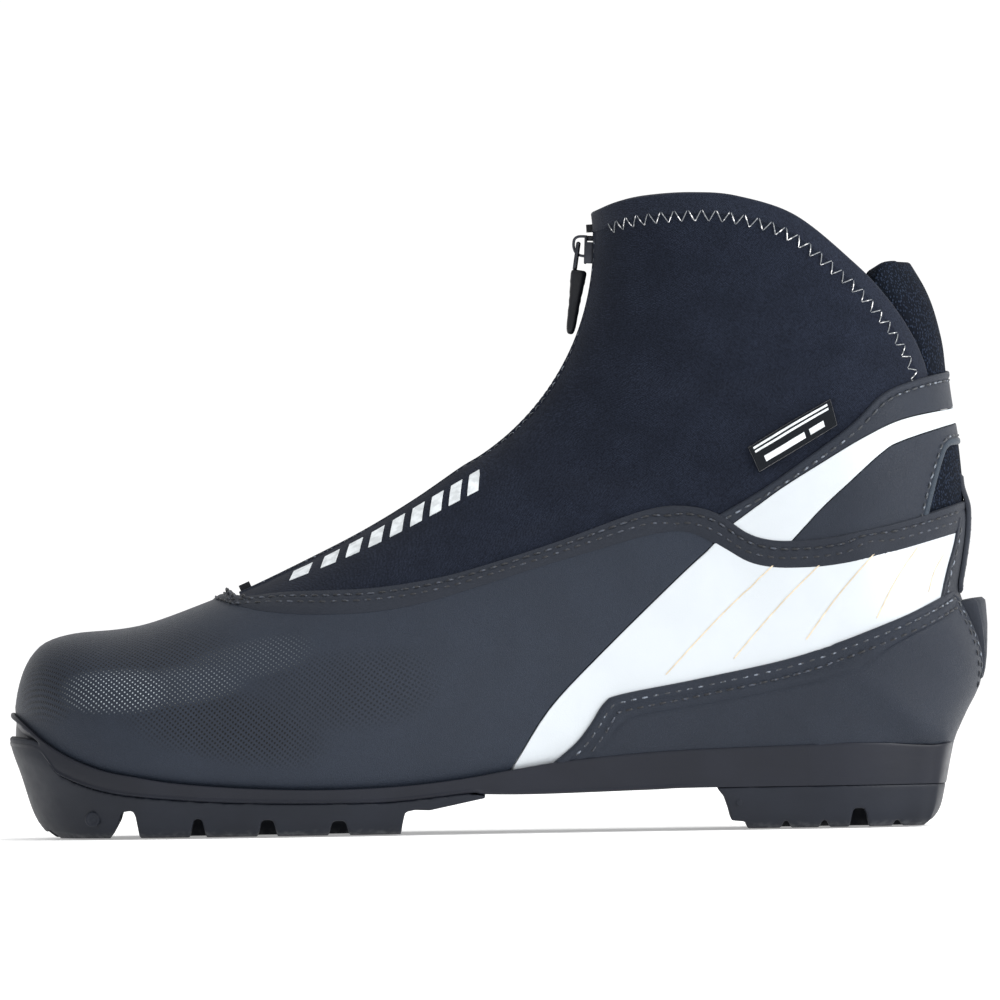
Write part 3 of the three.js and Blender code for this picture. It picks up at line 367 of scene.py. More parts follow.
class Patch:
    """A four-sided piece of the last between lines: rows run from bottom to top, columns from left
    to right. Rows and columns near the edges keep fixed distances in millimetres."""

    def __init__(self, bottom, top, left=None, right=None, relaxed=False):
        straight = np.linspace(0, 1, 9)[:, None]
        self.bottom, self.top = bottom, top
        self.left = bottom[0] + (top[0] - bottom[0]) * straight if left is None else left
        self.right = bottom[-1] + (top[-1] - bottom[-1]) * straight if right is None else right
        self.eased = None
        if relaxed:
            self.relax()

    def relax(self):
        """Evens out the inside so that no cell folds over, by Winslow's smoothing: at() adds how far
        each inner point went."""
        s, w = np.meshgrid(np.linspace(0, 1, RELAX_GRID[0]), np.linspace(0, 1, RELAX_GRID[1]))
        start = self.at(s, w)
        net = start * [1, GIRTH]
        for _ in range(RELAX_STEPS):
            left, right, down, up = net[1:-1, :-2], net[1:-1, 2:], net[:-2, 1:-1], net[2:, 1:-1]
            by_s, by_w = (right - left) / 2, (up - down) / 2
            a, b = (by_w**2).sum(-1, keepdims=True), (by_s**2).sum(-1, keepdims=True)
            skew = (by_s * by_w).sum(-1, keepdims=True)
            twist = net[2:, 2:] - net[2:, :-2] - net[:-2, 2:] + net[:-2, :-2]
            goal = (a * (left + right) + b * (down + up) - skew * twist / 2) / (2 * (a + b) + 1e-9)
            net[1:-1, 1:-1] += RELAX_SHARE * (goal - net[1:-1, 1:-1])
        self.eased = net / [1, GIRTH] - start

    def correction(self, s, w):
        rows, columns = self.eased.shape[:2]
        x, y = np.clip(s, 0, 1) * (columns - 1), np.clip(w, 0, 1) * (rows - 1)
        i, j = np.minimum(x.astype(int), columns - 2), np.minimum(y.astype(int), rows - 2)
        fx, fy = (x - i)[..., None], (y - j)[..., None]
        near = self.eased[j, i] * (1 - fx) + self.eased[j, i + 1] * fx
        far = self.eased[j + 1, i] * (1 - fx) + self.eased[j + 1, i + 1] * fx
        return near * (1 - fy) + far * fy

    def at(self, s, w):
        plain = self.blended(s, w)
        return plain if self.eased is None else plain + self.correction(s, w)

    def blended(self, s, w):
        b, t, l, r = along(self.bottom, s), along(self.top, s), along(self.left, w), along(self.right, w)
        s, w = s[..., None], w[..., None]
        corners = (1 - s) * (1 - w) * self.bottom[0] + s * (1 - w) * self.bottom[-1]
        corners = corners + (1 - s) * w * self.top[0] + s * w * self.top[-1]
        return (1 - w) * b + w * t + (1 - s) * l + s * r - corners

    def heights(self, s):
        """The height of the patch at each s."""
        return self.span(np.repeat(s[:, None], len(FINE), 1), np.repeat(FINE[None], len(s), 0))

    def span(self, s, w):
        """Length of the run of points at (s, w), along the last axis."""
        uv = self.at(s, w)
        points = last_point(uv[..., 0], uv[..., 1])
        return np.linalg.norm(np.diff(points, axis=-2), axis=-1).sum(-1)

    def grid(self, columns, rows, low=(0,), high=(0,), first=(0,), last=(0,)):
        """(u, |v|) at each row and column, and the distance of each from the four edges."""
        s = np.linspace(0, 1, columns + len(first) + len(last) - 1)
        w = np.linspace(0, 1, rows + len(low) + len(high) - 1)
        tall = self.heights(s)
        wide = self.span(np.repeat(FINE[None], len(w), 0), np.repeat(w[:, None], len(FINE), 1))
        up = np.stack([spread(length, rows, low, high) for length in tall], 1)
        across = np.stack([spread(length, columns, first, last) for length in wide], 0)
        uv = self.at(across, up)
        edges = (up * tall, (1 - up) * tall, across * wide[:, None], (1 - across) * wide[:, None])
        return uv, edges

    def line(self, from_top, count):
        """The line a fixed distance below the top edge."""
        s = np.linspace(0, 1, count)
        return self.at(s, 1 - np.clip(from_top / np.maximum(self.heights(s), 1e-6), 0, 1))


def spread(length, count, start, end):
    """Shares of a length: the start's distances, an even run, then the end's distances, mirrored."""
    scale = min(1, length / (2.2 * max(start[-1] + end[-1], 1e-9)))
    a, b = np.array(start) * scale, length - np.array(end)[::-1] * scale
    middle = np.linspace(a[-1], b[0], count + 1)[1:-1]
    return np.concatenate([a, middle, b]) / max(length, 1e-9)


# ---------------------------------------------------------------- meshes

EDGE = (0, 0.12, 0.3, 0.6, 1.0)
WELD_CELLS = 500  # to a millimetre: points in one cell become one


def rolled(distance, radius):
    """How far a rounded edge has dropped, at a distance in from it."""
    d = np.clip(distance, 0, radius)
    return -(radius - np.sqrt(np.maximum(0, radius**2 - (radius - d) ** 2)))


def profile(distance, points):
    """Height read from a smooth section of [distance, height] points."""
    line = smooth(points, 6)
    return np.interp(distance, line[:, 0], line[:, 1])


def girth_length(u, v):
    """Signed distance round the last from the ridge to v, for texture coordinates."""
    share = np.linspace(0, 1, 17)
    points = last_point(np.repeat(u[..., None], 17, -1), v[..., None] * share)
    return np.sign(v) * np.linalg.norm(np.diff(points, axis=-2), axis=-1).sum(-1)


class Body:
    """Collects quads, then makes one closed mesh of them, welding points that meet."""

    def __init__(self):
        self.points, self.quads, self.uvs = [], [], []
        self.count = 0

    def grid(self, points, uv=None, flip=False, wrap=False):
        rows, columns = points.shape[:2]
        index = self.count + np.arange(rows * columns).reshape(rows, columns)
        if wrap:
            index = np.concatenate([index, index[:, :1]], 1)
        quads = np.stack([index[:-1, :-1], index[:-1, 1:], index[1:, 1:], index[1:, :-1]], -1).reshape(-1, 4)
        self.quads.append(quads[:, ::-1] if flip else quads)
        self.points.append(points.reshape(-1, 3))
        self.uvs.append(np.zeros((rows * columns, 2)) if uv is None else uv.reshape(-1, 2))
        self.count += rows * columns

    def layer(self, uv, side, outer, inner):
        """A layer over a (u, |v|) grid, between two distances from the last."""
        u, v = uv[..., 0], side * uv[..., 1]
        top, under = layer_point(u, v, outer), layer_point(u, v, inner)
        flat = np.stack([mid_length(u), girth_length(u, v)], -1)
        self.slab(top, under, flat, side < 0)

    def slab(self, top, under, flat, flip=False):
        """Two faces with walls round their edge; flat holds their texture coordinates."""
        self.grid(top, flat, flip)
        self.grid(under, flat, not flip)
        ends = ((0, True), (-1, False))
        for row, turned in ends:
            self.grid(np.stack([top[row], under[row]]), np.stack([flat[row]] * 2), flip != turned)
        for column, turned in ends:
            wall = np.stack([top[:, column], under[:, column]])
            self.grid(wall, np.stack([flat[:, column]] * 2), flip == turned)

    def build(self, name, material, body="boot", sharp=40):
        return finish_mesh(name, self.mesh(name), material, body, sharp)

    def mesh(self, name):
        points = np.concatenate(self.points)
        quads = np.concatenate(self.quads)
        uvs = np.concatenate(self.uvs)
        cells = np.round(points * WELD_CELLS).astype(np.int64)
        _, first, place = np.unique(cells, axis=0, return_index=True, return_inverse=True)
        place = place.reshape(-1)
        faces, corners, seen = [], [], {}
        for quad, at in zip(place[quads].tolist(), quads.tolist()):
            ring = [(p, c) for k, (p, c) in enumerate(zip(quad, at)) if p != quad[k - 1]]
            if len(ring) < 3 or len({p for p, _ in ring}) < len(ring):
                continue
            key = frozenset(p for p, _ in ring)
            if key in seen:
                seen[key] = None
                continue
            seen[key] = len(faces)
            faces.append([p for p, _ in ring])
            corners.append([c for _, c in ring])
        kept = [k for k in seen.values() if k is not None]
        mesh = bpy.data.meshes.new(name)
        mesh.from_pydata((points[first] * MM).tolist(), [], [faces[k] for k in kept])
        layer = mesh.uv_layers.new(name="surface")
        flat = np.concatenate([uvs[corners[k]] for k in kept]) * MM
        layer.data.foreach_set("uv", flat.astype(np.float32).ravel())
        return mesh


def turned_outward(mesh):
    """Drops loose points and makes every face look outward."""
    work = bmesh.new()
    work.from_mesh(mesh)
    loose = [vert for vert in work.verts if not vert.link_faces]
    bmesh.ops.delete(work, geom=loose, context="VERTS")
    bmesh.ops.recalc_face_normals(work, faces=work.faces)
    work.to_mesh(mesh)
    work.free()
    return mesh


def linked(name, data):
    """A new object in the scene."""
    made = bpy.data.objects.new(name, data)
    bpy.context.scene.collection.objects.link(made)
    return made


def finish_mesh(name, mesh, material, body="boot", sharp=40):
    turned_outward(mesh)
    mesh.shade_smooth()
    mesh.set_sharp_from_angle(angle=math.radians(sharp))
    mesh.materials.clear()
    mesh.materials.append(material)
    mesh.polygons.foreach_set("material_index", np.zeros(len(mesh.polygons), dtype=np.int32))
    piece = linked(name, mesh)
    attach(piece, body)
    return piece


def stand_for(piece, node):
    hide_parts(node)
    return piece


MID_U = np.linspace(U_TIP, U_TOP, 240)
MID_GIRTH = 0.42
MID_S = lengths(np.stack([MID_U, np.full(240, MID_GIRTH)], -1))


def mid_length(u):
    """Distance along the side of the boot to station u, for texture coordinates."""
    return np.interp(u, MID_U, MID_S)


THREAD_SIDES, THREAD_BLUNT = 6, 0.55


def tubes(name, runs, radius, material):
    """Many short round threads as one piece. runs holds each thread's points and surface normals."""
    sides = THREAD_SIDES
    paths = np.array([points for points, _ in runs])
    outs = np.array([normals for _, normals in runs])
    count, steps = paths.shape[:2]
    tangents = unit(np.gradient(paths, axis=1))
    across = unit(np.cross(tangents, outs))
    up = np.cross(across, tangents)
    girth = np.ones(steps)
    girth[[0, -1]] = THREAD_BLUNT
    angle = np.arange(sides) * 2 * math.pi / sides
    ring = across[:, :, None] * np.cos(angle)[:, None] + up[:, :, None] * np.sin(angle)[:, None]
    points = paths[:, :, None] + ring * (radius * girth)[None, :, None, None]
    base = np.arange(count)[:, None, None] * steps * sides
    i = np.arange(steps - 1)[:, None] * sides
    j = np.arange(sides)
    quads = np.stack([i + j, i + (j + 1) % sides, i + sides + (j + 1) % sides, i + sides + j], -1)
    quads = (base[..., None] + quads[None]).reshape(-1, 4).tolist()
    caps = []
    for k in range(count):
        start = k * steps * sides
        caps.append(list(range(start + sides - 1, start - 1, -1)))
        caps.append(list(range(start + (steps - 1) * sides, start + steps * sides)))
    mesh = bpy.data.meshes.new(name)
    mesh.from_pydata((points.reshape(-1, 3) * MM).tolist(), [], quads + caps)
    return finish_mesh(name, mesh, material, sharp=60)


ARCH = np.array([-0.32, 0.05, 0.16, 0.05, -0.32])


def stitch_run(line, side, pitch, length, lift, start=0.0):
    """Threads of a sewn row along a line on the last, each arching out of its needle holes."""
    at = lengths(line)
    if at[-1] < length + start:
        return []
    centres = np.arange(start + length / 2, at[-1] - length / 2, pitch)
    shares = (centres[:, None] + np.linspace(-length / 2, length / 2, len(ARCH))[None]) / at[-1]
    uv = along(line, shares)
    u, v = uv[..., 0], side * uv[..., 1]
    return list(zip(layer_point(u, v, lift + ARCH[None]), last_normal(u, v)))


def zigzag_run(line, side, pitch, width, lift):
    """Threads going to and fro across a line."""
    count = int(lengths(line)[-1] / (pitch / 2))
    base = along(line, np.linspace(0, 1, count + 1))
    corners = shifted(base, -width / 2)
    corners[1::2] = shifted(base, width / 2)[1::2]
    step = np.linspace(0.04, 0.96, len(ARCH))[None, :, None]
    uv = corners[:-1, None] + (corners[1:, None] - corners[:-1, None]) * step
    u, v = uv[..., 0], side * uv[..., 1]
    return list(zip(layer_point(u, v, lift + 0.7 * ARCH[None]), last_normal(u, v)))


# ---------------------------------------------------------------- materials


class Shader:
    """A material's node tree, with short calls for the nodes that the finishes share."""

    def __init__(self, name):
        self.material = bpy.data.materials.new(name)
        self.material.use_nodes = True
        self.tree = self.material.node_tree
        self.main = self.tree.nodes["Principled BSDF"]
        self.coordinates = self.tree.nodes.new("ShaderNodeTexCoord")

    def node(self, kind, inputs=(), **settings):
        made = self.tree.nodes.new("ShaderNode" + kind)
        for key, value in settings.items():
            setattr(made, key, value)
        for key, value in dict(inputs).items():
            self.feed(made.inputs[key], value)
        return made

    def feed(self, socket, value):
        if isinstance(value, bpy.types.NodeSocket):
            self.tree.links.new(value, socket)
        else:
            socket.default_value = value

    def math(self, operation, a, b=0.0):
        return self.node("Math", {0: a, 1: b}, operation=operation).outputs[0]

    def vector(self, operation, a, b=(0, 0, 0)):
        made = self.node("VectorMath", {0: a, 1: b}, operation=operation)
        return made.outputs["Value" if operation in ("LENGTH", "DOT_PRODUCT") else "Vector"]

    def place(self, flat=False, scale=(1, 1, 1)):
        """Position in millimetres, in space or flat on the surface."""
        source = self.coordinates.outputs["UV" if flat else "Object"]
        return self.vector("MULTIPLY", source, tuple(1000 * s for s in scale))

    def noise(self, size, detail=2.0, place=None, rough=0.5):
        inputs = {"Vector": place or self.place(), "Scale": 1 / size, "Detail": detail, "Roughness": rough}
        return self.node("TexNoise", inputs).outputs["Fac"]

    def cells(self, size, place, feature="F1"):
        made = self.node("TexVoronoi", {"Vector": place, "Scale": 1 / size}, feature=feature)
        return made.outputs["Distance"]

    def wave(self, size, place):
        """Slanting bands, size apart."""
        inputs = {"Vector": place, "Scale": math.pi / 10 / size, "Distortion": 0.0}
        return self.node("TexWave", inputs, wave_type="BANDS", bands_direction="DIAGONAL").outputs["Fac"]

    def varied(self, middle, share, noise):
        """A level that wanders with a noise."""
        return self.math("ADD", self.math("MULTIPLY", noise, share), middle)

    def warped(self, scale):
        """Place, shaken by a coloured noise."""
        shake = self.node("TexNoise", {"Vector": self.place(), "Scale": scale})
        return self.vector("ADD", self.place(), shake.outputs["Color"])

    def ramp(self, value, low, high, low_out=0.0, high_out=1.0):
        inputs = {0: value, 1: low, 2: high, 3: low_out, 4: high_out}
        return self.node("MapRange", inputs, interpolation_type="SMOOTHSTEP").outputs[0]

    def mix(self, share, a, b, blend="MIX"):
        made = self.node("Mix", data_type="RGBA", blend_type=blend)
        self.feed(made.inputs[0], share)
        self.feed(made.inputs[6], a)
        self.feed(made.inputs[7], b)
        return made.outputs[2]

    def bumps(self, *layers):
        """Bumps laid one on another, each (height, depth in millimetres)."""
        normal = None
        for height, depth in layers:
            inputs = {"Height": height, "Distance": depth * MM, "Strength": 1.0}
            if normal is not None:
                inputs["Normal"] = normal
            normal = self.node("Bump", inputs).outputs[0]
        self.feed(self.main.inputs["Normal"], normal)

    def finish(self, color, roughness, levels=()):
        """Sets the colour, the roughness and the fixed levels, and gives the material."""
        self.feed(self.main.inputs["Base Color"], color)
        self.feed(self.main.inputs["Roughness"], roughness)
        for key, value in dict(levels).items():
            self.main.inputs[key].default_value = value
        return self.material


def rgb(red, green, blue):
    """A colour given in sRGB 0 to 255, as linear values."""
    linear = [c / 255 / 12.92 if c < 10.3 else ((c / 255 + 0.055) / 1.055) ** 2.4 for c in (red, green, blue)]
    return (*linear, 1.0)


def times(color, factor):
    return tuple(min(1, c * factor) for c in color[:3]) + (1.0,)


def mottled(s, color, size, amount):
    """A colour with soft lighter and darker patches."""
    return s.mix(s.ramp(s.noise(size, 3), 0.35, 0.65), times(color, 1 - amount), times(color, 1 + amount))


def grain(s, size=0.42):
    """Fine leather grain: small flat pebbles between creases."""
    return s.ramp(s.cells(size, s.warped(1.6), feature="DISTANCE_TO_EDGE"), 0.0, 0.32)


def hide_color(s, color, pebbles):
    """A leather's colour: mottled, and darker between the pebbles of its grain."""
    return s.mix(s.ramp(pebbles, 0, 0.5), times(color, 0.8), mottled(s, color, 14, 0.07))


HIDE_LEVELS = {"Specular IOR Level": 0.22, "Sheen Weight": 0.04, "Sheen Roughness": 0.4}


def leather(name, color, rough=0.5):
    s = Shader(name)
    pebbles = grain(s)
    s.bumps((s.noise(9, 3), 0.10), (pebbles, 0.05), (s.noise(0.13), 0.02))
    return s.finish(hide_color(s, color, pebbles), s.varied(rough - 0.08, 0.16, s.noise(1.1, 3)), HIDE_LEVELS)


BLOB_POWER = 2.6


def blob(s, place, centre, half, turn):
    """A soft ellipse in the side view: 1 inside, fading to 0 at its rim."""
    away = s.vector("SUBTRACT", place, (centre[0], 0, centre[1]))
    c, n = math.cos(turn), math.sin(turn)
    run = s.vector("DOT_PRODUCT", away, (c / half[0], 0, n / half[0]))
    rise = s.vector("DOT_PRODUCT", away, (-n / half[1], 0, c / half[1]))
    far = [s.math("POWER", s.math("ABSOLUTE", way), BLOB_POWER) for way in (run, rise)]
    return s.ramp(s.math("ADD", *far), 1.2, 0.0)


DOT_CELL = (1.55, 1.75)
PALE_DOT, DARK_DOT = 0.22, 0.34
# Where the dots show: each zone's centre, half lengths, turn and strength.
PALE_DOTS = [
    ((-110, 42.6), (17, 6.6), 0.02, 0.75), ((-92, 44), (20, 6), 0.12, 0.3), ((-72, 51), (20, 6), 0.2, 0.16),
]
DARK_DOTS = [
    ((-106, 53.5), (34, 8), 0.03, 1.0), ((-131, 44), (9, 12), 0.0, 1.0), ((-79, 33), (32, 12), -0.2, 1.0),
    ((-45, 42), (30, 13), 0.1, 0.7),
]


def dotted_leather(name, color):
    """Leather printed with fine dots, pale in a band over the toes and dark round it."""
    s = Shader(name)
    pebbles = grain(s)
    flat = s.place(flat=True)
    nearest = []
    for offset in ((0, 0, 0), (0.5, 0.5, 0)):
        share = s.vector("ADD", s.vector("DIVIDE", flat, (*DOT_CELL, 1)), offset)
        inside = s.vector("SUBTRACT", s.vector("FRACTION", share), (0.5, 0.5, 0))
        nearest.append(s.vector("LENGTH", s.vector("MULTIPLY", inside, (*DOT_CELL, 0))))
    small, large = (s.ramp(s.math("MINIMUM", *nearest), r + 0.05, r - 0.07) for r in (PALE_DOT, DARK_DOT))
    zones = []
    for group in (PALE_DOTS, DARK_DOTS):
        parts = [s.math("MULTIPLY", blob(s, s.place(), *shape), strength) for *shape, strength in group]
        zones.append(functools.reduce(lambda a, b: s.math("MAXIMUM", a, b), parts))
    pale = s.math("MULTIPLY", zones[0], small)
    dark = s.math("MULTIPLY", s.math("MULTIPLY", zones[1], large), s.math("SUBTRACT", 1.0, zones[0]))
    shade = s.mix(dark, hide_color(s, color, pebbles), rgb(3, 4, 8))
    shade = s.mix(pale, shade, rgb(188, 198, 204))
    raised = s.math("MAXIMUM", pale, dark)
    s.bumps((s.noise(9, 3), 0.10), (pebbles, 0.045), (raised, 0.05))
    return s.finish(shade, s.varied(0.4, 0.16, s.noise(1.1, 3)), HIDE_LEVELS)


def coated(name, color):
    """Smooth coated leather with a faint grain and soft dents."""
    s = Shader(name)
    s.bumps((s.noise(12, 2), 0.18), (grain(s, 0.6), 0.012))
    levels = {"Specular IOR Level": 0.5, "Coat Weight": 0.15, "Coat Roughness": 0.3}
    return s.finish(mottled(s, color, 18, 0.015), s.varied(0.36, 0.12, s.noise(2.4, 3)), levels)


def woven(name, color, size=0.34, contrast=0.35, depth=0.05, sheen=0.35, patch=0.10, fleck=0.0):
    """Cloth: two sets of threads, with a little fluff, uneven dye and flecks of paler yarn."""
    s = Shader(name)
    place = s.warped(0.5)
    threads = s.math("MULTIPLY", s.wave(size, place), s.wave(size, s.vector("MULTIPLY", place, (1, 1, -1))))
    height = s.math("ADD", threads, s.math("MULTIPLY", s.noise(0.22, 3, rough=0.7), 0.8))
    s.bumps((s.noise(7, 2), 0.08), (height, depth))
    shade = s.mix(s.ramp(height, 0.25, 1.1), times(color, 1 - contrast), mottled(s, color, 10, patch))
    flecks = s.ramp(s.noise(0.5, 3, rough=0.8), 0.36, 0.64)
    tint = s.mix(flecks, (*[1 - fleck] * 3, 1), (*[1 + fleck] * 3, 1))
    levels = {"Sheen Weight": sheen, "Sheen Roughness": 0.45, "Specular IOR Level": 0.06}
    return s.finish(s.mix(1.0, shade, tint, "MULTIPLY"), 0.85, levels)


def pebbled(name, color, size):
    """Coarse knit: rounded pebbles standing out of a ground darkened as painted shade, their tops lightened in
    noise spots, partly yarn tone and partly painted highlight.
    """
    s = Shader(name)
    pebbles = s.ramp(s.cells(size, s.place(scale=(1, 1, 0.8))), 0.62, 0.12)
    s.bumps((pebbles, 0.32), (s.noise(0.2, 2), 0.04))
    # The pebbles' colour, lightened up to 1.5 times in noise spots: partly the yarn's own tone and partly
    # painted highlight.
    yarn = s.mix(s.noise(0.9), color, times(color, 1.5))
    # Painted shade: the hollows between the pebbles are darkened to 0.3 of the colour.
    shade = s.mix(s.ramp(pebbles, 0.1, 0.75), times(color, 0.3), yarn)
    return s.finish(shade, 0.8, {"Specular IOR Level": 0.05})


def fleece(name, color):
    s = Shader(name)
    tufts = s.noise(0.8, 4, rough=0.75)
    s.bumps((s.noise(4, 2), 0.25), (tufts, 0.3))
    levels = {"Sheen Weight": 0.6, "Sheen Roughness": 0.6, "Specular IOR Level": 0.1}
    return s.finish(s.mix(s.ramp(tufts, 0.3, 0.7), times(color, 0.55), color), 0.95, levels)


def rubber(name, color, rough, wear):
    """Moulded rubber: fine texture, faint flow marks and scuffs on what faces down."""
    s = Shader(name)
    flow = s.noise(6, 3, s.place(scale=(0.25, 1, 1.6)))
    s.bumps((flow, 0.10), (s.noise(0.25, 3, rough=0.7), 0.018))
    height = s.node("SeparateXYZ", {0: s.place()}).outputs[2]
    low = s.ramp(height, 2.4, 0.2, 0.0, wear)
    scuffs = s.math("MULTIPLY", low, s.ramp(s.noise(1.6, 4), 0.4, 0.75))
    shade = s.mix(scuffs, mottled(s, color, 16, 0.08), rgb(96, 98, 100))
    return s.finish(shade, s.varied(rough - 0.1, 0.22, flow), {"Specular IOR Level": 0.24})


def moulded(name, color, rough=0.45):
    s = Shader(name)
    s.bumps((s.noise(0.3, 3), 0.02))
    roughness = s.varied(rough - 0.1, 0.2, s.noise(0.8, 2))
    return s.finish(mottled(s, color, 3, 0.15), roughness, {"Specular IOR Level": 0.25})


def metal(name, color, rough):
    s = Shader(name)
    brushed = s.noise(0.12, 3, s.place(scale=(1, 6, 0.6)))
    s.bumps((brushed, 0.004))
    return s.finish(mottled(s, color, 2, 0.1), s.varied(rough - 0.1, 0.25, brushed), {"Metallic": 1.0})


def fibre(name, color):
    s = Shader(name)
    strands = s.noise(0.5, 5, s.place(scale=(0.3, 1, 1)), 0.8)
    s.bumps((strands, 0.05))
    return s.finish(s.mix(s.ramp(strands, 0.35, 0.65), times(color, 0.7), color), 0.9)


def thread(name, color):
    """Sewing thread: uneven plies, with a painted highlight here and there: pale glints painted into its
    colour.
    """
    s = Shader(name)
    plies = s.noise(0.16, 2)
    s.bumps((plies, 0.03))
    # Painted highlight: where a noise passes a level, the thread's colour is made five times as bright, as
    # glints.
    shade = s.mix(s.ramp(s.noise(1.3), 0.5, 0.62), s.mix(plies, times(color, 0.55), color), times(color, 5))
    return s.finish(shade, 0.45, {"Sheen Weight": 0.1, "Specular IOR Level": 0.4})


DARK = leather("leather_dark", rgb(33, 39, 50))
DOTTED = dotted_leather("leather_dotted", rgb(36, 43, 55))
TRIM = leather("leather_trim", rgb(33, 38, 48), 0.55)
WHITE = coated("leather_white", rgb(191, 197, 202))
SHELL = woven("softshell", rgb(30, 35, 47), sheen=0.05, patch=0.16, fleck=0.34)
HEM_CLOTH = woven("softshell_hem", rgb(35, 40, 52), sheen=0.1, fleck=0.3)
KNIT = pebbled("knit", rgb(30, 37, 50), size=0.75)
FLEECE = fleece("fleece", rgb(44, 47, 54))
SOCK = woven("lining_cloth", rgb(38, 41, 48), size=0.6, sheen=0.5)
CHASSIS = rubber("rubber_chassis", rgb(24, 27, 36), 0.4, 0.0)
TREAD = rubber("rubber_tread", rgb(24, 28, 37), 0.5, 0.4)
PLASTIC = moulded("plastic_dark", rgb(18, 20, 26))
PLATED = metal("metal_plated", rgb(58, 60, 66), 0.3)
STEEL = metal("metal_steel", rgb(168, 170, 172), 0.35)
BOARD = fibre("fibreboard", rgb(150, 138, 112))
TAPE_CLOTH = woven("tape_cloth", rgb(30, 33, 42), size=0.5, contrast=0.5, depth=0.08)
CORD_CLOTH = woven("cord_cloth", rgb(52, 56, 64), size=0.5, contrast=0.5, depth=0.1)
LABEL_CLOTH = woven("label_cloth", rgb(24, 28, 34), size=0.3, contrast=0.5, depth=0.05)
THREAD_DARK = thread("thread_dark", rgb(24, 27, 33))
THREAD_GREY = thread("thread_grey", rgb(50, 54, 60))
THREAD_PALE = thread("thread_pale", rgb(128, 132, 136))
PIPING = leather("piping_grey", rgb(48, 58, 69), 0.5)
PINSTRIPE = moulded("pinstripe", rgb(206, 190, 164), 0.5)
PRINT = moulded("print_white", rgb(214, 219, 222), 0.5)

# ---------------------------------------------------------------- shared lines


def side_run(points, x0=-139.9, x1=200, raise_by=0.0):
    """The part of a side-view line between two x, on the last; past the back it stays on v = 1."""
    line = smooth([(x, z + raise_by) for x, z in points], SPAN_POINTS)
    line = line[(line[:, 0] > x0) & (line[:, 0] < x1)]
    run, t = laid(line)
    behind = np.flatnonzero((t >= 1) & (line[:, 0] > 100))
    return run[: behind[0] + 1] if len(behind) else run


def ridge_run(u0, u1, steps=60):
    return np.stack([np.linspace(u0, u1, steps + 1), np.zeros(steps + 1)], -1)


def back_run(z0, z1, steps=40):
    """Up the middle of the back between two heights."""
    back = smooth(SOLE_AND_BACK)
    rear = back[back[:, 0] > 100]
    rear = rear[np.argmax(rear[:, 0] > HEEL_CORNER[0]):]
    z = np.linspace(z0, z1, steps + 1)
    x = np.interp(z, rear[:, 1], rear[:, 0])
    return np.stack([fan_of(x, z)[0], np.ones(steps + 1)], -1)


def from_zip(line, y):
    """A line that starts where it first stands y off the middle plane, by the zip."""
    least = beside_ridge(line[:, 0], y)[:, 1]
    start = max(int(np.argmax(line[:, 1] > least)) - 1, 0)
    line = line[start:].copy()
    line[0, 1] = least[start]
    return line


def where_x(line, low=-999, high=999):
    return cut(line, lambda x, z: (x > low) & (x < high))


TOP = side_run(TOPLINE, -77.3)
STRAP_LOW = side_run(STRAP_LOWER, -82.6)
BOTH = (OUTER, INNER)
ZIP_GAP = 4.5
EDGES = ("bottom", "top", "left", "right")


def panel(name, patch, sides, material, outer=0.0, inner=-1.5, finished="", radius=0.6, columns=60,
          rows=16, height=None, node=None, first=(0,), last=(0,), high=(0,)):
    """A panel over a patch, with its finished edges rounded off."""
    steps = {edge: EDGE if edge in finished else (0,) for edge in EDGES}
    uv, edges = patch.grid(
        columns, rows, steps["bottom"], max(steps["top"], high, key=len),
        max(steps["left"], first, key=len), max(steps["right"], last, key=len),
    )
    top = np.zeros(uv.shape[:2])
    for edge, distance in zip(EDGES, edges):
        if edge in finished:
            top = np.minimum(top, rolled(distance, radius))
    under = inner
    if height is not None:
        lift = height(uv, edges)
        lift, under = lift if isinstance(lift, tuple) else (lift, inner)
        top = top + lift
    made = Body()
    for side in sides:
        made.layer(uv, side, outer + top, under)
    piece = made.build(name, material)
    if node:
        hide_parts(node)
    return piece


# ---------------------------------------------------------------- upper

# Sections of a folded, sewn edge, as [distance in from the edge, height].
FOLD = [
    (0, -0.5), (0.2, 0.05), (0.6, 0.3), (1.2, 0.36), (1.8, 0.22), (2.3, -0.16), (2.8, 0.02), (3.6, 0.14),
    (30, 0.1),
]
DOUBLE_FOLD = FOLD[:-2] + [(3.7, 0.16), (4.4, 0.04), (4.95, -0.22), (5.5, 0.0), (6.4, 0.06), (30, 0.0)]
FOLD_ROWS = (0, 0.15, 0.35, 0.7, 1.2, 1.7, 2.1, 2.4, 2.8, 3.5, 4.2, 4.7, 5.0, 5.4, 6.2)
STITCH = {"pitch": 3.3, "length": 2.5}
THREAD_RADIUS = 0.29


def snapped(line, start=None, end=None):
    line = np.array(line)
    if start is not None:
        line[0] = start
    if end is not None:
        line[-1] = end
    return line


def joined(*lines):
    return np.concatenate(lines)


def sew(name, rows, material=THREAD_GREY, sides=BOTH):
    """Rows of stitches, each a line with the lift and the start of its threads, as one piece."""
    runs = []
    for side in sides:
        for row, lift, start in rows:
            runs += stitch_run(row, side, lift=lift, start=start, **STITCH)
    tubes(name, runs, THREAD_RADIUS, material)


TIP = np.array([[U_TIP, 1.0]])
TOE_START = -139.7


THROAT = -77.2


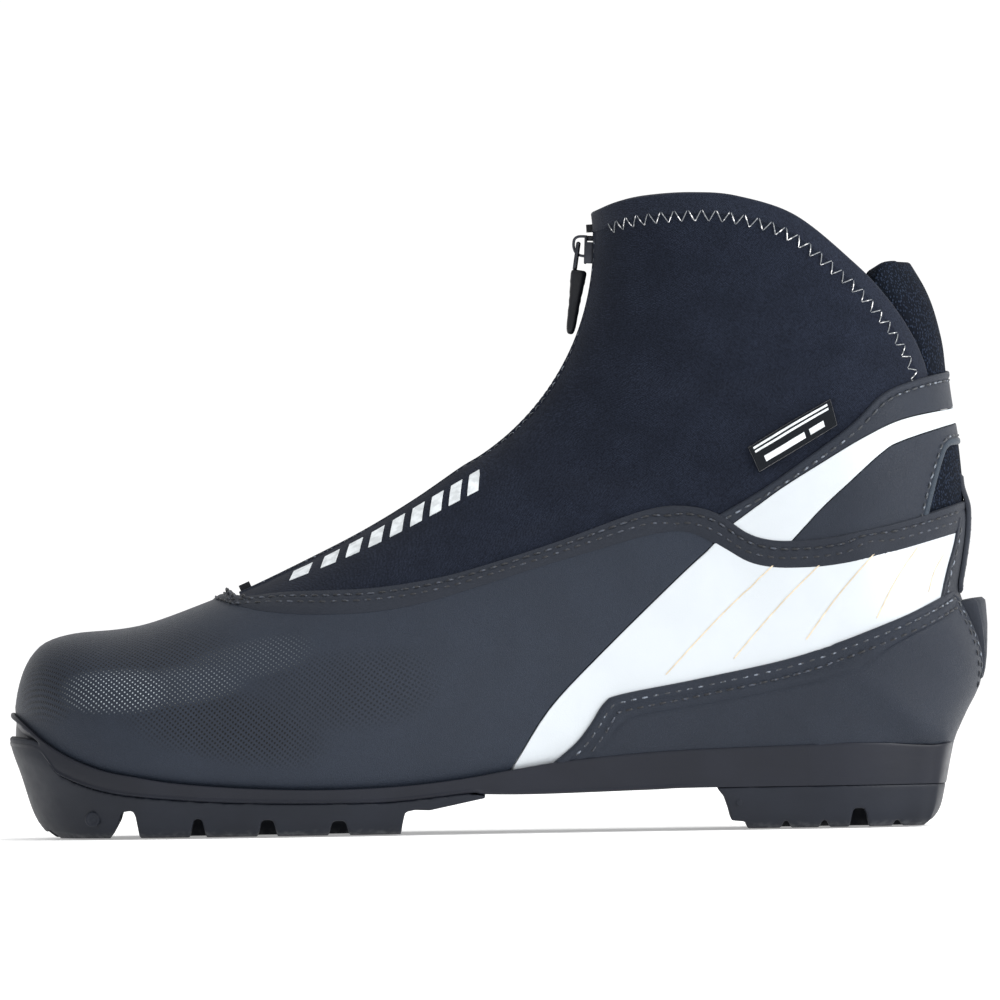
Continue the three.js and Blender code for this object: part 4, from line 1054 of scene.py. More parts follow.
def make_vamp():
    """The forefoot's leather, from the sole to the ridge and under the strap."""
    bottom = joined(TIP, side_run(SOLE_LINE, TOE_START, 2.5, -1.2))
    under_strap = shifted(TOP, 1.7)
    under_strap = where_x(under_strap[under_strap[:, 1] > 0.03], -80, 62.4)
    top = joined(ridge_run(U_TIP, THROAT - 2.0 - ZIP_CENTRE[0]), under_strap)
    front = snapped(on_last(WHITE_FRONT), bottom[-1], top[-1])
    patch = Patch(even(bottom, 200), even(top, 240), None, front)
    panel("vamp_panel", patch, BOTH, DOTTED, finished="right", radius=0.35, columns=110, rows=34, node="vamp")


# The whipped stitches at the throat: a thread's section, and the way it crosses the strap.
THROAT_ARCH = np.array([[-1.1, 0.0], [-0.5, 0.55], [0, 0.75], [0.5, 0.55], [1.1, 0.0]])
THROAT_WAY = (0.35, 0.9, 0.1)


STRAP_ROWS = [(2.35, 0.5, 0.4), (5.0, 0.44, 2.0)]  # distance from the edge, lift, start
STITCH_END = 133.5


def make_strap():
    """The folded band round the topline, sewn down with two rows."""
    patch = Patch(even(STRAP_LOW, 260), even(TOP, 260))

    def height(uv, edges):
        below, above = edges[0], edges[1]
        lift = np.minimum(0.5 + profile(above, DOUBLE_FOLD), 0.06 + 0.55 * ease(below / 1.1))
        return lift, np.where(above < 1.4, -1.5, 0.03)

    panel("topline_strap", patch, BOTH, TRIM, columns=150, rows=3, height=height, high=FOLD_ROWS)
    rows = [(where_x(patch.line(down, 400), high=STITCH_END), lift, start) for down, lift, start in STRAP_ROWS]
    sew("stitching_strap", rows, THREAD_DARK)
    loops = []
    row = patch.line(1.2, 400)[4:34:7]
    for side in BOTH:
        u, v = row[:, 0], side * row[:, 1]
        way = np.array(THROAT_WAY) * (1, side, 1)
        for centre, out in zip(layer_point(u, v, 0.7), last_normal(u, v)):
            points = centre + np.outer(THROAT_ARCH[:, 0], way) + np.outer(THROAT_ARCH[:, 1], out)
            loops.append((points, np.repeat(np.array([[1.0, 0, 0]]), len(THROAT_ARCH), 0)))
    tubes("stitching_throat", loops, THREAD_RADIUS * 1.2, THREAD_DARK)


PINSTRIPES = [
    ((48.3, 44.9), (82.3, 78.2)), ((68, 49.2), (95.6, 78.2)), ((89, 54.4), (109.9, 79.8)),
    ((109.5, 60.3), (121.6, 80.5)), ((124.6, 67.4), (129.2, 78.2)),
]


PINSTRIPE_HALF, PINSTRIPE_OUTER, PINSTRIPE_UNDER = 0.17, 0.3, 0.16


def make_pinstripe(name, run, side):
    patch = Patch(shifted(run, PINSTRIPE_HALF), shifted(run, -PINSTRIPE_HALF))
    uv, _ = patch.grid(max(6, int(lengths(run)[-1] / 1.5)), 2)
    made = Body()
    made.layer(uv, side, PINSTRIPE_OUTER, PINSTRIPE_UNDER)
    made.build(name, PINSTRIPE)


def make_quarters():
    """The white side panels with their pinstripes."""
    top = where_x(shifted(STRAP_LOW, -1.3), 63.4)
    bottom = side_run(WHITE_LOWER, 2.8)
    front = snapped(shifted(on_last(WHITE_FRONT), 0.3), bottom[0], top[0])
    patch = Patch(bottom, top, front, None, relaxed=True)
    for side in BOTH:
        label = SIDE_NAMES[side]
        panel(f"quarter_panel_{label}", patch, [side], WHITE, outer=0.16, finished="left", radius=0.3,
              columns=70, rows=20, node=f"quarter_{label}")
        for k, (low, high) in enumerate(PINSTRIPES):
            run = on_last([low, ((low[0] + high[0]) / 2 - 0.6, (low[1] + high[1]) / 2 + 0.4), high])
            make_pinstripe(f"pinstripe_{label}_{k + 1}", run, side)


def make_stiffeners():
    """The fibreboard cups that keep the shape of the toe and of the heel, under the upper."""
    over = ridge_run(U_TIP, -100 - ZIP_CENTRE[0])
    under = joined(TIP, side_run(SOLE_LINE, TOE_START, -106, 1.5))
    panel("toe_puff_board", Patch(under, over), BOTH, BOARD, outer=-1.7, inner=-3.1, columns=40, rows=20,
          node="toe_puff")
    low = side_run([(72, 27.8), (130, 27.8), (146, 27.8)], 72.5)
    high = side_run([(72.6, 31), (80, 43), (104, 59), (124, 71), (146, 74)], 72.8)
    panel("stiffener_board", Patch(low, high), BOTH, BOARD, outer=-1.65, inner=-3.1, columns=40, rows=16,
          node="heel_stiffener")


LIP_EDGE = np.array([(42, 2.5), (50, 6.5), (58, 10), (64, 12.5)]).T


LIP_GAP = 0.3


def counter_rear():
    """The counter's rear edge: up the middle of the heel, then beside the moulded lip."""
    z = np.linspace(42, 65.5, 14)
    y = np.interp(z, *LIP_EDGE) + LIP_GAP
    beside = spot_at(y, z, back_run(42, 65.5, 13)[:, 0], np.full(14, 0.93))
    return joined(back_run(23.6, 40.5, 12), beside)


# The counter's two rows of stitches: name, distance from the edge, lift and thread.
COUNTER_ROWS = [("edge", 2.35, 1.38, THREAD_GREY), ("inner", 4.95, 1.3, THREAD_DARK)]


def height_map(uv):
    return last_point(uv[..., 0], uv[..., 1])[..., 2]


def make_counters():
    """The overlays on both sides of the heel, with two rows of stitches."""
    top = on_last(COUNTER_TOP)
    rear = counter_rear()
    bottom = snapped(joined(side_run(SOLE_LINE, 15.4, 130.3, -0.9), rear[:1]), top[0])
    rear = joined(rear, top[-1:])
    patch = Patch(even(bottom, 200), even(top, 200), None, even(rear, 80))
    edge = joined(even(top, 160), along(rear, np.linspace(1, 0, 60))[1:36])
    edge_points = last_point(edge[:, 0], edge[:, 1])

    def height(uv, edges):
        from_rear = edges[3] + 30 * ease((46 - height_map(uv)) / 8)
        return profile(np.minimum(edges[1], from_rear), DOUBLE_FOLD)

    for side in BOTH:
        label = SIDE_NAMES[side]
        panel(f"heel_counter_panel_{label}", patch, [side], DARK, outer=1.25, inner=0.32, columns=90, rows=12,
              height=height, high=FOLD_ROWS, last=FOLD_ROWS, node=f"heel_counter_{label}")
        for place, distance, lift, material in COUNTER_ROWS:
            row = shifted(edge, distance)
            points = last_point(row[:, 0], row[:, 1])
            gaps = np.linalg.norm(points[:, None] - edge_points[None], axis=-1).min(1)
            row = row[(gaps > distance * 0.93) & (points[:, 2] > sole_height(points[:, 0]) + 0.8)]
            sew(f"stitching_counter_{place}_{label}", [(row, lift, 0)], material, [side])


LIP_FOOT, LIP_HEAD = 41.4, 64.3
LIP_BACK = np.array([
    (41, 140.2), (45, 141.2), (49, 141.7), (53, 141.9), (58, 142), (62, 141.7), (64.3, 141.3),
]).T
LIP_ROUND = 0.021


def make_heel_lip():
    """The moulded lip that stands out behind the heel between the counters."""
    rows, columns = 26, 25
    share = np.linspace(0, 1, rows)[:, None]
    across = np.linspace(-1, 1, columns)[None]
    z = LIP_FOOT + (LIP_HEAD - LIP_FOOT) * share + 0 * across
    half = np.interp(z, *LIP_EDGE)
    y = across * half
    centre = back_run(LIP_FOOT, LIP_HEAD, rows - 1)[:, :1] + 0 * y
    inner_uv = spot_at(np.maximum(np.abs(y), 0.05), z, centre, np.full(y.shape, 0.95))
    v = np.where(np.abs(y) < 0.1, 1.0, inner_uv[..., 1]) * np.where(y < 0, -1, 1)
    under = layer_point(inner_uv[..., 0], v, 0.35)
    back = np.interp(z, *LIP_BACK) - LIP_ROUND * y**2
    from_side = (1 - np.abs(across)) * half
    edge = rolled(from_side, 0.9) + rolled((1 - share) * 22.9, 0.8) + rolled(share * 22.9, 1.2)
    rim = -0.35 * np.exp(-((from_side - 1.9) / 0.35) ** 2)
    x = np.maximum(back + edge + rim, under[..., 0] + 0.4)
    lean = 1.4 * ease((share - 0.75) / 0.25) * (x - under[..., 0]) / 6
    top = np.stack([x, y, z + lean], -1)
    made = Body()
    made.slab(top, under, np.stack([y, z], -1))
    stand_for(made.build("heel_lip", TRIM), "heel_spoiler")


# The leather between the white quarters at the back of the heel, in the side view.
BACK_PANEL_FRONT = [(127.4, 63), (130.1, 74.1), (132.2, 81.3), (133.6, 88.6)]
BACK_PANEL_ENDS = ([(127.4, 63), (131, 62.9)], [(133.6, 88.6), (135, 88.9)])
STAY_FOOT, STAY_HEAD, STAY_ROWS = 66.6, 101.6, 34


def make_backstay():
    """The strap up the middle of the back, over the tapered panel that joins the quarters."""
    steps = np.array([0, 0.15, 0.4, 0.9, 1.6, 2.3, 2.9, 3.3, 3.7, 4.4, 5.2, 6.0, 6.8])
    z = np.linspace(STAY_FOOT, STAY_HEAD, STAY_ROWS)[:, None] + 0 * steps
    y = steps[-1] - steps[None] + 0 * z
    centre = back_run(STAY_FOOT, STAY_HEAD, STAY_ROWS - 1)[:, :1] + 0 * y
    uv = spot_at(np.maximum(y, 0.05), z, centre, np.full(y.shape, 0.96))
    uv[:, -1, 1] = 1.0
    ends = np.minimum(z - STAY_FOOT, STAY_HEAD - z)
    lift = rolled(steps[None] + 0 * z, 0.8) + rolled(ends, 0.7)
    lift = lift + 0.28 * np.exp(-((steps - 1.2) / 0.8) ** 2) - 0.25 * np.exp(-((steps - 3.3) / 0.45) ** 2)
    sunk = 1.5 * ease((z - 91) / 8)
    made = Body()
    for side in BOTH:
        made.layer(uv, side, 1.75 + lift - sunk, 0.9 - sunk)
    stand_for(made.build("backstay_strip", TRIM), "backstay")
    sew("stitching_backstay", [(uv[1:23, 7], 1.55, 0)])

    front = on_last(BACK_PANEL_FRONT)
    foot, head = (side_run([*line, (146, line[-1][1])], line[0][0]) for line in BACK_PANEL_ENDS)
    front = snapped(front, foot[0], head[0])
    panel("heel_back_panel", Patch(foot, head, front), BOTH, TRIM, outer=0.62, inner=0.2, finished="left",
          radius=0.4, columns=14, rows=24, first=(0, 0.12, 0.3, 0.6, 1.0, 1.6, 2.2),
          height=lambda uv, edges: profile(edges[2], FOLD) - 0.1)
    sew("stitching_heel_back", [(shifted(front, 2.3), 0.6, 0)])


SEAM_GAP = 0.12


def make_cuff():
    """The cuff: its folded band, the white stripe, and the ankle panel with its piping."""
    band = Patch(even(side_run(STRIPE_TOP, 67, raise_by=SEAM_GAP), 160), even(side_run(CUFF_TOP, 63), 160))
    panel("cuff_band_panel", band, BOTH, DARK, finished="bottom", radius=0.25, columns=80, rows=3,
          height=lambda uv, edges: profile(edges[1], FOLD) - 0.1 + 0.25 * ease((4 - edges[1]) / 4),
          high=FOLD_ROWS[:10], node="cuff_band")
    sew("stitching_cuff", [(where_x(band.line(2.4, 300), 66), 0.12, 0)])

    top, low = side_run(STRIPE_TOP, 67, raise_by=-SEAM_GAP), side_run(STRIPE_LOWER, 84, raise_by=SEAM_GAP)
    under = on_last([(84.4, 82), (77.9, 82.2), (72, 84.2), (68, 88)])
    stripe = Patch(low, top, snapped(under, low[0], top[0]), relaxed=True)
    panel("cuff_stripe_panel", stripe, BOTH, WHITE, outer=0.06, finished="bottom top", radius=0.25, columns=70,
          rows=10, node="cuff_stripe")

    top = side_run(STRIPE_LOWER, 84, raise_by=-SEAM_GAP)
    rear = side_run(ANKLE_REAR, 122)
    low = even(joined(top[:1], where_x(shifted(TOP, 1.6), 86, 122.4), rear), 240)
    panel("ankle_panel", Patch(low, top, relaxed=True), BOTH, DARK, finished="top bottom", radius=0.35,
          columns=80, rows=14, node="ankle_quarter")
    edge = Patch(shifted(rear, 1.7), shifted(rear, -0.35))
    panel("ankle_piping", edge, BOTH, PIPING, outer=0.42, inner=-1.6, finished="bottom top", radius=0.85,
          columns=44, rows=4)
    sew("stitching_ankle", [(shifted(rear, -1.0), 0.12, 0)])


GAP_LOW = [(120.5, 84.3), (126, 85.5), (131, 87), (146, 89)]
GAP_HIGH = [
    (120.5, 84.3), (121.6, 88.4), (124.3, 99.2), (127, 107.6), (129.6, 112.2), (134, 113.6), (146, 113.4),
]
COLLAR_FRONT = [(124.4, 125), (124, 128), (123, 133.5), (118.6, 143), (113.4, 152.4), (111.6, 157)]
COLLAR_LOW = [(124.4, 125), (128, 124.5), (146, 124)]
COLLAR_TOP = [(111.6, 157), (112.2, 161), (114, 163.6), (117, 164.2), (120, 163.8), (146, 163)]


def make_collar():
    """The knit-covered padding at the back of the collar, seen in the gap and above the cuff."""
    low = side_run(GAP_LOW, 120)
    gap = Patch(low, snapped(side_run(GAP_HIGH, 120), low[0]))

    def sunk(uv, edges):
        return 1.5 * ease((np.minimum(edges[1] - 1.7, edges[0] - 4) + 0.6) / 2.6)

    knit = panel("heel_gap_cushion", gap, BOTH, KNIT, outer=-1.75, inner=-3.4, columns=24, rows=24,
                 height=sunk)

    left, bottom, top = (side_run(line, 100) for line in (COLLAR_FRONT, COLLAR_LOW, COLLAR_TOP))
    patch = Patch(bottom, top, snapped(left, bottom[0], top[0]))

    def crowned(uv, edges):
        free = np.minimum(edges[2] - 1.8, edges[0] - 1.5)
        return 2.1 * ease(free / 4.5) + 0.3 * ease(free / 14)

    pad = panel("collar_cushion", patch, BOTH, KNIT, outer=-2.75, inner=-6.4, finished="top", radius=1.6,
                columns=30, rows=34, height=crowned, node="collar_pad",
                high=(0, 0.1, 0.3, 0.6, 1.0, 1.5, 2.1, 3.0))


# The cover's creases: both ends in the side view, width and depth.
CREASES = [
    ((52, 130), (106, 139), 3.6, 1.4), ((33, 139), (70, 127), 4.5, 0.9), ((-8, 84), (24, 98), 3.0, 0.6),
    ((10, 107), (54, 104), 5.0, 0.8), ((78, 122), (100, 128), 2.6, 0.5), ((56, 96), (92, 115), 3.4, 0.6),
]


def relief(uv):
    """Soft bends of stretched cloth: shallow valleys with a rise below each."""
    points = last_point(uv[..., 0], uv[..., 1])
    x, z = points[..., 0], points[..., 2]
    total = np.zeros(x.shape)
    for (x0, z0), (x1, z1), width, depth in CREASES:
        run = np.hypot(x1 - x0, z1 - z0)
        along_it = ((x - x0) * (x1 - x0) + (z - z0) * (z1 - z0)) / run
        off = (-(x - x0) * (z1 - z0) + (z - z0) * (x1 - x0)) / run
        off = off + 1.6 * np.sin(along_it / 13)
        ends = ease(along_it / 14) * ease((run - along_it) / 14)
        rise = 0.7 * np.exp(-(((off + 1.5 * width) / width) ** 2))
        total += ends * depth * (rise - np.exp(-((off / width) ** 2)))
    return total + 0.35 * np.sin(x / 21 + z / 17) * np.sin(z / 26 - x / 31)


ZIP_FOLD = [
    (0, 0), (0.8, 0.2), (2.1, 0.26), (2.7, -0.14), (3.2, 0.12), (3.8, 0.14), (4.4, -0.12), (5.0, 0), (400, 0),
]
ZIP_FOLD_COLUMNS = (0, 0.12, 0.3, 0.6, 1.0, 1.6, 2.1, 2.4, 2.7, 3.0, 3.4, 3.8, 4.1, 4.4, 4.8, 5.4)


def creased(uv, edges):
    return relief(uv) * ease(np.minimum.reduce(edges) / 5) + profile(edges[2], ZIP_FOLD)


def make_cover():
    """The zipped cover over the laces: two halves of stretch cloth, each with a folded hem."""
    hem = from_zip(side_run(HEM_TOP, 20.1), ZIP_GAP)
    foot = from_zip(where_x(shifted(TOP, 2.2), -75.5, 62.8), ZIP_GAP)
    rear = snapped(shifted(side_run(CUFF_TOP, 63.7, 128), 2.2), foot[-1])
    top = even(shifted(hem, 4.6), 200)
    top[0, 1] = beside_ridge(top[:1, 0], ZIP_GAP)[0, 1]
    zip_edge = beside_ridge(np.linspace(foot[0, 0], top[0, 0], 120), ZIP_GAP)
    rear = snapped(rear, foot[-1], top[-1])
    patch = Patch(foot, top, zip_edge, rear, relaxed=True)
    band = Patch(shifted(hem, 6.3), hem)
    for side in BOTH:
        label = SIDE_NAMES[side]
        cover = panel(f"cover_panel_{label}", patch, [side], SHELL, outer=-0.9, inner=-2.2, finished="left",
                      columns=84, rows=64, height=creased, first=ZIP_FOLD_COLUMNS, node=f"lace_cover_{label}")
        folded = panel(f"hem_band_{label}", band, [side], HEM_CLOTH, outer=-0.55, inner=-2.6,
                       finished="top left bottom", radius=0.95, columns=90, rows=6, node=f"cover_hem_{label}")
        zigzag = zigzag_run(where_x(shifted(hem, 6.6), 33), side, 4.1, 3.7, -0.5)
        stitched = tubes(f"stitching_hem_{label}", zigzag, 0.15, THREAD_PALE)
        seam = beside_ridge(np.linspace(foot[0, 0] + 6, top[0, 0] - 4, 200), 6.6)
        rows = stitch_run(seam, side, pitch=2.7, length=2.0, lift=-0.85)
        edging = tubes(f"stitching_zip_{label}", rows, 0.17, THREAD_GREY)


# The cover's mark: plain slanting bars that grow towards the ankle, and a label with plain bars.
MARK_LOW = [(-60.5, 74.6), (-33, 85.2), (-3, 100.2)]
MARK_HIGH = [(-62, 76.2), (-35, 88.6), (-5, 105.6)]
MARK_BARS = 9
MARK_SLANT = 0.045
LABEL_LOW = [(76.2, 103), (88, 109.8), (99, 116.2)]
LABEL_HIGH = [(73.1, 110.1), (85.5, 117.4), (97.1, 123.7)]
LABEL_BARS = [
    (0.05, 0.95, 0.83, 0.91), (0.05, 0.95, 0.68, 0.76), (0.12, 0.62, 0.2, 0.42), (0.68, 0.86, 0.2, 0.42),
]
PRINT_THICK = 0.35


def inlay(name, patch, span, band, outer, slant=0.0):
    """A thin print on the outer side over part of a patch: s from span, w from band."""
    rows = 5
    s = np.linspace(*span, 14)[None] + slant * np.linspace(0, 1, rows)[:, None]
    w = np.linspace(*band, rows)[:, None] + 0 * s
    uv = patch.at(np.clip(s, 0, 1), w)
    top = outer(uv)
    made = Body()
    made.layer(uv, OUTER, top, top - PRINT_THICK)
    made.build(name, PRINT)


def make_marks():
    """The plain bars that stand for the cover's lettering, and the label."""
    mark = Patch(on_last(MARK_LOW), on_last(MARK_HIGH))
    edges = np.linspace(0, 1, MARK_BARS + 1) ** 0.85
    for k, (start, end) in enumerate(zip(edges[:-1], edges[1:])):
        span = (start, start + (end - start) * 0.6)
        inlay(f"cover_mark_{k + 1}", mark, span, (0.04, 0.96), lambda uv: relief(uv) - 0.76, MARK_SLANT)
    label = Patch(on_last(LABEL_LOW), on_last(LABEL_HIGH))
    panel("label_patch", label, [OUTER], LABEL_CLOTH, outer=0.05, inner=-0.85, finished=EDGES, radius=0.3,
          columns=20, rows=8, node="woven_label")
    for k, (start, end, low, high) in enumerate(LABEL_BARS):
        inlay(f"label_bar_{k + 1}", label, (start, end), (low, high), lambda uv: 0.13)


# ---------------------------------------------------------------- inside


LINING_RIM = [
    (20, 168), (40, 172.5), (58, 174), (84, 168.5), (98, 157), (107, 145), (114, 131), (124, 123.5),
    (146, 121.5),
]


LINING_SLOT = 18.3


def make_lining():
    """The padded lining, open along the lacing."""
    sole = np.stack([np.linspace(U_TIP, U_HEEL, 120), np.ones(120)], -1)
    under = joined(sole, back_run(24, 121.5, 60))
    slot = beside_ridge(np.linspace(-60 - ZIP_CENTRE[0], 196, 120), LINING_SLOT)
    rim = from_zip(side_run(LINING_RIM, 20), LINING_SLOT)
    slot = slot[slot[:, 0] < rim[0, 0]]
    over = even(joined(ridge_run(U_TIP, -64 - ZIP_CENTRE[0]), slot, rim), 300)
    patch = Patch(even(under, 300), snapped(over, None, under[-1]), relaxed=True)
    sock = panel("lining_sock", patch, BOTH, SOCK, outer=-3.7, inner=-6.4, finished="top", radius=1.2,
                 columns=120, rows=30, node="lining", high=(0, 0.2, 0.5, 1.0, 1.6))


TONGUE_FROM, TONGUE_TO, TONGUE_HALF = -19, 203, 21


def make_tongue():
    """The quilted tongue behind the lace."""
    low = beside_ridge(np.linspace(TONGUE_FROM, TONGUE_TO, 160), TONGUE_HALF)
    patch = Patch(low, ridge_run(TONGUE_FROM, TONGUE_TO, 159))

    def stuffed(uv, edges):
        return 0.25 * np.cos(uv[..., 0] / 2.6) * ease(edges[0] / 4) * ease(edges[3] / 8)

    pad = panel("tongue_pad", patch, BOTH, FLEECE, outer=-8.9, inner=-11.3, finished="bottom left right",
                radius=1.1, columns=110, rows=14, height=stuffed, node="tongue")


# The footbed along x: half width, and how far its rim stands above its middle.
BED_HALF = np.array([(-130, 38), (-60, 39), (0, 33), (60, 30), (122, 29)]).T
BED_CUP = np.array([(-130, 1.2), (-40, 1.2), (30, 3.6), (122, 4.2)]).T
BED_ABOVE, BED_THICK = 8.2, 3


def make_footbed():
    """The removable insole: a cupped sole that follows the floor of the shoe."""
    low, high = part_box("footbed")
    x0, x1 = low.x / MM + 0.3, high.x / MM - 0.3
    x = x0 + (x1 - x0) * (1 - np.cos(np.linspace(0, np.pi, 70))) / 2
    floor_line = smooth(SOLE_AND_BACK[1:15])
    floor = np.interp(x, floor_line[:, 0], floor_line[:, 1])
    ends = np.minimum(1, round_off(1 - np.minimum(x - x0, x1 - x) / 34, 2.2))
    across = np.linspace(-1, 1, 25)
    out = np.interp(x, *BED_HALF)
    y = across[:, None] * (out * ends)[None] + TOE_SWING * (np.clip(-60 - x, 0, None) / 80) ** 2 * 0.6
    cup = np.interp(x, *BED_CUP) * np.abs(across[:, None]) ** 3.2
    top_z = floor + BED_ABOVE + cup - 0.8 * (1 - across[:, None] ** 2)
    top_z = top_z + rolled((1 - np.abs(across[:, None])) * out, 1.4)
    top = np.stack([x + 0 * y, y, top_z], -1)
    under = np.stack([x + 0 * y, y * 0.97, floor + BED_ABOVE - BED_THICK + 0 * y], -1)
    made = Body()
    made.slab(top, under, np.stack([x + 0 * y, y], -1))
    bed = stand_for(made.build("footbed_cushion", FLEECE), "footbed")


# ---------------------------------------------------------------- sole

# How far the sole's wall has moved out, by the share of its height below the rim, at the toe,
# at the heel and along the sides.
TAPER_SHARES = [
    (0, 0, 0, 0), (0.23, 0.5, -1.2, -0.6), (0.5, -2.6, -2.5, -1.6), (0.77, -5.6, -4, -3), (0.9, -8, -5.8, -4),
    (0.96, -10, -7.6, -5), (1, -12, -10, -6.6),
]
RIM_OUT = 1.6
RIM_STEPS = 12


def sole_height(x):
    """The height of the sole's top edge at x."""
    return np.interp(x, *smooth(SOLE_LINE).T)


TOE_CURVE, HEEL_CURVE_FROM, HEEL_END = 46, 90, HEEL_CORNER[0] + 1


def rim_side(side):
    """The top edge of the sole on one side, from the toe to the heel."""
    toe = TOE[0] + TOE_CURVE * (1 - np.cos(np.arange(7) / 7 * np.pi / 2))
    heel = HEEL_CURVE_FROM + (HEEL_END - HEEL_CURVE_FROM) * np.sin(np.arange(7) / 6 * np.pi / 2)
    x = np.concatenate([toe, np.arange(TOE[0] + TOE_CURVE, 88, 14), heel])
    u = fan_of(x, sole_height(x))[0]
    low, high = np.full(len(u), 0.5), np.ones(len(u))
    for _ in range(24):
        mid = (low + high) / 2
        points = last_point(u, side * mid)
        above = points[:, 2] > sole_height(points[:, 0])
        low, high = np.where(above, mid, low), np.where(above, high, mid)
    rim = layer_point(u, side * low, RIM_OUT)
    rim[0] = (TOE[0] - 0.75 * RIM_OUT, TOE_SWING, 36.4)
    rim[-1] = (HEEL_END + RIM_OUT, 0, 24.4)
    return rim


def rim_ring():
    """The rim as one closed smooth ring: down the outer side, round the heel and back."""
    outer, inner = rim_side(OUTER), rim_side(INNER)
    ring = np.concatenate([outer, inner[-2:0:-1]])
    looped = np.concatenate([ring[-2:], ring, ring[:3]])
    places = 2 + np.arange(len(ring) * RIM_STEPS) / RIM_STEPS
    return catmull(looped, places)


RIM = rim_ring()
RIM_HALF = len(RIM) // 2
AHEAD, BEHIND = np.roll(RIM, -3, 0), np.roll(RIM, 3, 0)
RIM_OUTWARD = unit(np.stack([AHEAD[:, 1] - BEHIND[:, 1], BEHIND[:, 0] - AHEAD[:, 0]], -1))


def ledge_height(x):
    return np.interp(x, *smooth(LEDGE, 8).T)


def wall_point(share, out=0.0):
    """Points of the sole's wall, share of the way down from the rim to the ground."""
    nx = RIM_OUTWARD[:, 0]
    toe = np.clip(-nx, 0, None) ** 2 * (RIM[:, 0] < 0)
    heel = np.clip(nx, 0, None) ** 2 * (RIM[:, 0] > 0)
    table = np.array(smooth(TAPER_SHARES, 8)).T
    push = toe * np.interp(share, table[0], table[1]) + heel * np.interp(share, table[0], table[2])
    push = push + (1 - toe - heel) * np.interp(share, table[0], table[3]) + out
    flat = RIM[:, :2] + RIM_OUTWARD * push[:, None]
    return np.concatenate([flat, (RIM[:, 2] * (1 - share))[:, None]], 1)


def ledge_share():
    share = np.full(len(RIM), 0.4)
    for _ in range(12):
        share = np.clip(1 - ledge_height(wall_point(share)[:, 0]) / RIM[:, 2], 0.02, 0.98)
    return share


LEDGE_SHARE = ledge_share()


def across_cap(ring, height=None):
    """A cap over a ring: rows that join each point of its outer side to its fellow on the inner side."""
    near = ring[: RIM_HALF + 1]
    far = np.roll(ring[::-1], 1, 0)[: RIM_HALF + 1]
    share = np.linspace(0, 1, 11)[None, :, None]
    cap = near[:, None] * (1 - share) + far[:, None] * share
    if height is not None:
        cap[..., 2] = height(cap, share[..., 0])
    return cap


# The lip's section, as (outward, upward) from the rim; then the distances below the rim, and above
# the ledge, at which the wall has a row.
LIP = [(-1.5, -3.6), (-1.45, -1.5), (-1.35, -0.4), (-1.15, -0.08), (-0.8, 0.05), (-0.4, 0.04), (-0.12, -0.1)]
BELOW_RIM = (0.4, 0.9, 1.15, 1.45, 1.9, 2.6)
ABOVE_LEDGE = (2.0, 1.6, 1.3, 1.0, 0.75, 0.5, 0.25, 0.0)
RECESS = -1.9
AT_FRONT = ease((-126 - RIM[:, 0]) / 8.0)
AT_TOE = ease((-133 - RIM[:, 0]) / 3.0)
BEAD_SHARE = (1 - AT_FRONT) * (1 - ease((RIM[:, 0] - 50) / 10))


def make_chassis():
    """The rubber foxing that cups the upper: rounded lip, tapering wall, bead on the tread's ledge."""
    rows = []
    for out, up in LIP:
        ring = RIM.copy()
        ring[:, :2] += RIM_OUTWARD * out
        ring[:, 2] += up
        rows.append(ring)
    drop = LEDGE_SHARE * RIM[:, 2] + 1.2 * AT_FRONT
    depths = [np.minimum(d, drop * (0.05 + 0.05 * k)) for k, d in enumerate(BELOW_RIM)]
    depths += [depths[5] + (drop - 2.4 - depths[5]) * share for share in np.linspace(0, 1, 9)[1:-1]]
    depths += [drop - d for d in ABOVE_LEDGE]
    for depth in depths:
        above = drop - depth
        recess = RECESS * AT_TOE * ease((depth - 0.95) / 0.5) * ease((above - 1.0) / 0.5)
        bead = 0.45 * np.exp(-(((above - 0.55) / 0.38) ** 2)) - 0.25 * np.exp(-((above / 0.2) ** 2))
        rows.append(wall_point(np.clip(depth / RIM[:, 2], 0, 1), recess + bead * BEAD_SHARE))
    rows.append(wall_point(drop / RIM[:, 2], -0.9))
    rings = np.stack(rows)

    def tray(cap, share):
        floor = np.interp(cap[..., 0], *smooth(SOLE_AND_BACK[:15]).T) - 0.35
        dip = ease(np.minimum(share, 1 - share) * 5)
        return cap[..., 2] * (1 - dip) + np.minimum(floor, cap[..., 2]) * dip

    made = Body()
    made.grid(rings, wrap=True)
    made.grid(across_cap(rings[-1]))
    made.grid(across_cap(rings[0], tray))
    stand_for(made.build("sole_foxing", CHASSIS, sharp=50), "sole_chassis")


def prism(outline, y0, y1):
    """A solid of the side-view outline between two y."""
    count = len(outline)
    points = [(x * MM, y * MM, z * MM) for y in (y0, y1) for x, z in outline]
    faces = [list(range(count)), list(range(2 * count - 1, count - 1, -1))]
    faces += [[k, count + k, count + (k + 1) % count, (k + 1) % count] for k in range(count)]
    mesh = bpy.data.meshes.new("cutter")
    mesh.from_pydata(points, [], faces)
    return turned_outward(mesh)


def with_modifiers(mesh, build):
    """The mesh after the modifiers that build adds to an object of it."""
    holder = linked("holder", mesh)
    helpers = build(holder) or []
    bpy.context.view_layer.update()
    graph = bpy.context.evaluated_depsgraph_get()
    result = bpy.data.meshes.new_from_object(holder.evaluated_get(graph))
    for used in [holder, *helpers]:
        bpy.data.objects.remove(used)
    return result


def carve(mesh, cutter, operation):
    def build(holder):
        tool = linked("tool", cutter)
        cut_by = holder.modifiers.new("cut", "BOOLEAN")
        cut_by.operation, cut_by.solver, cut_by.object = operation, "MANIFOLD", tool
        return [tool]

    return with_modifiers(mesh, build)


VOXEL, SMOOTHING, KEPT_SHARE = 0.5, 3, 0.22


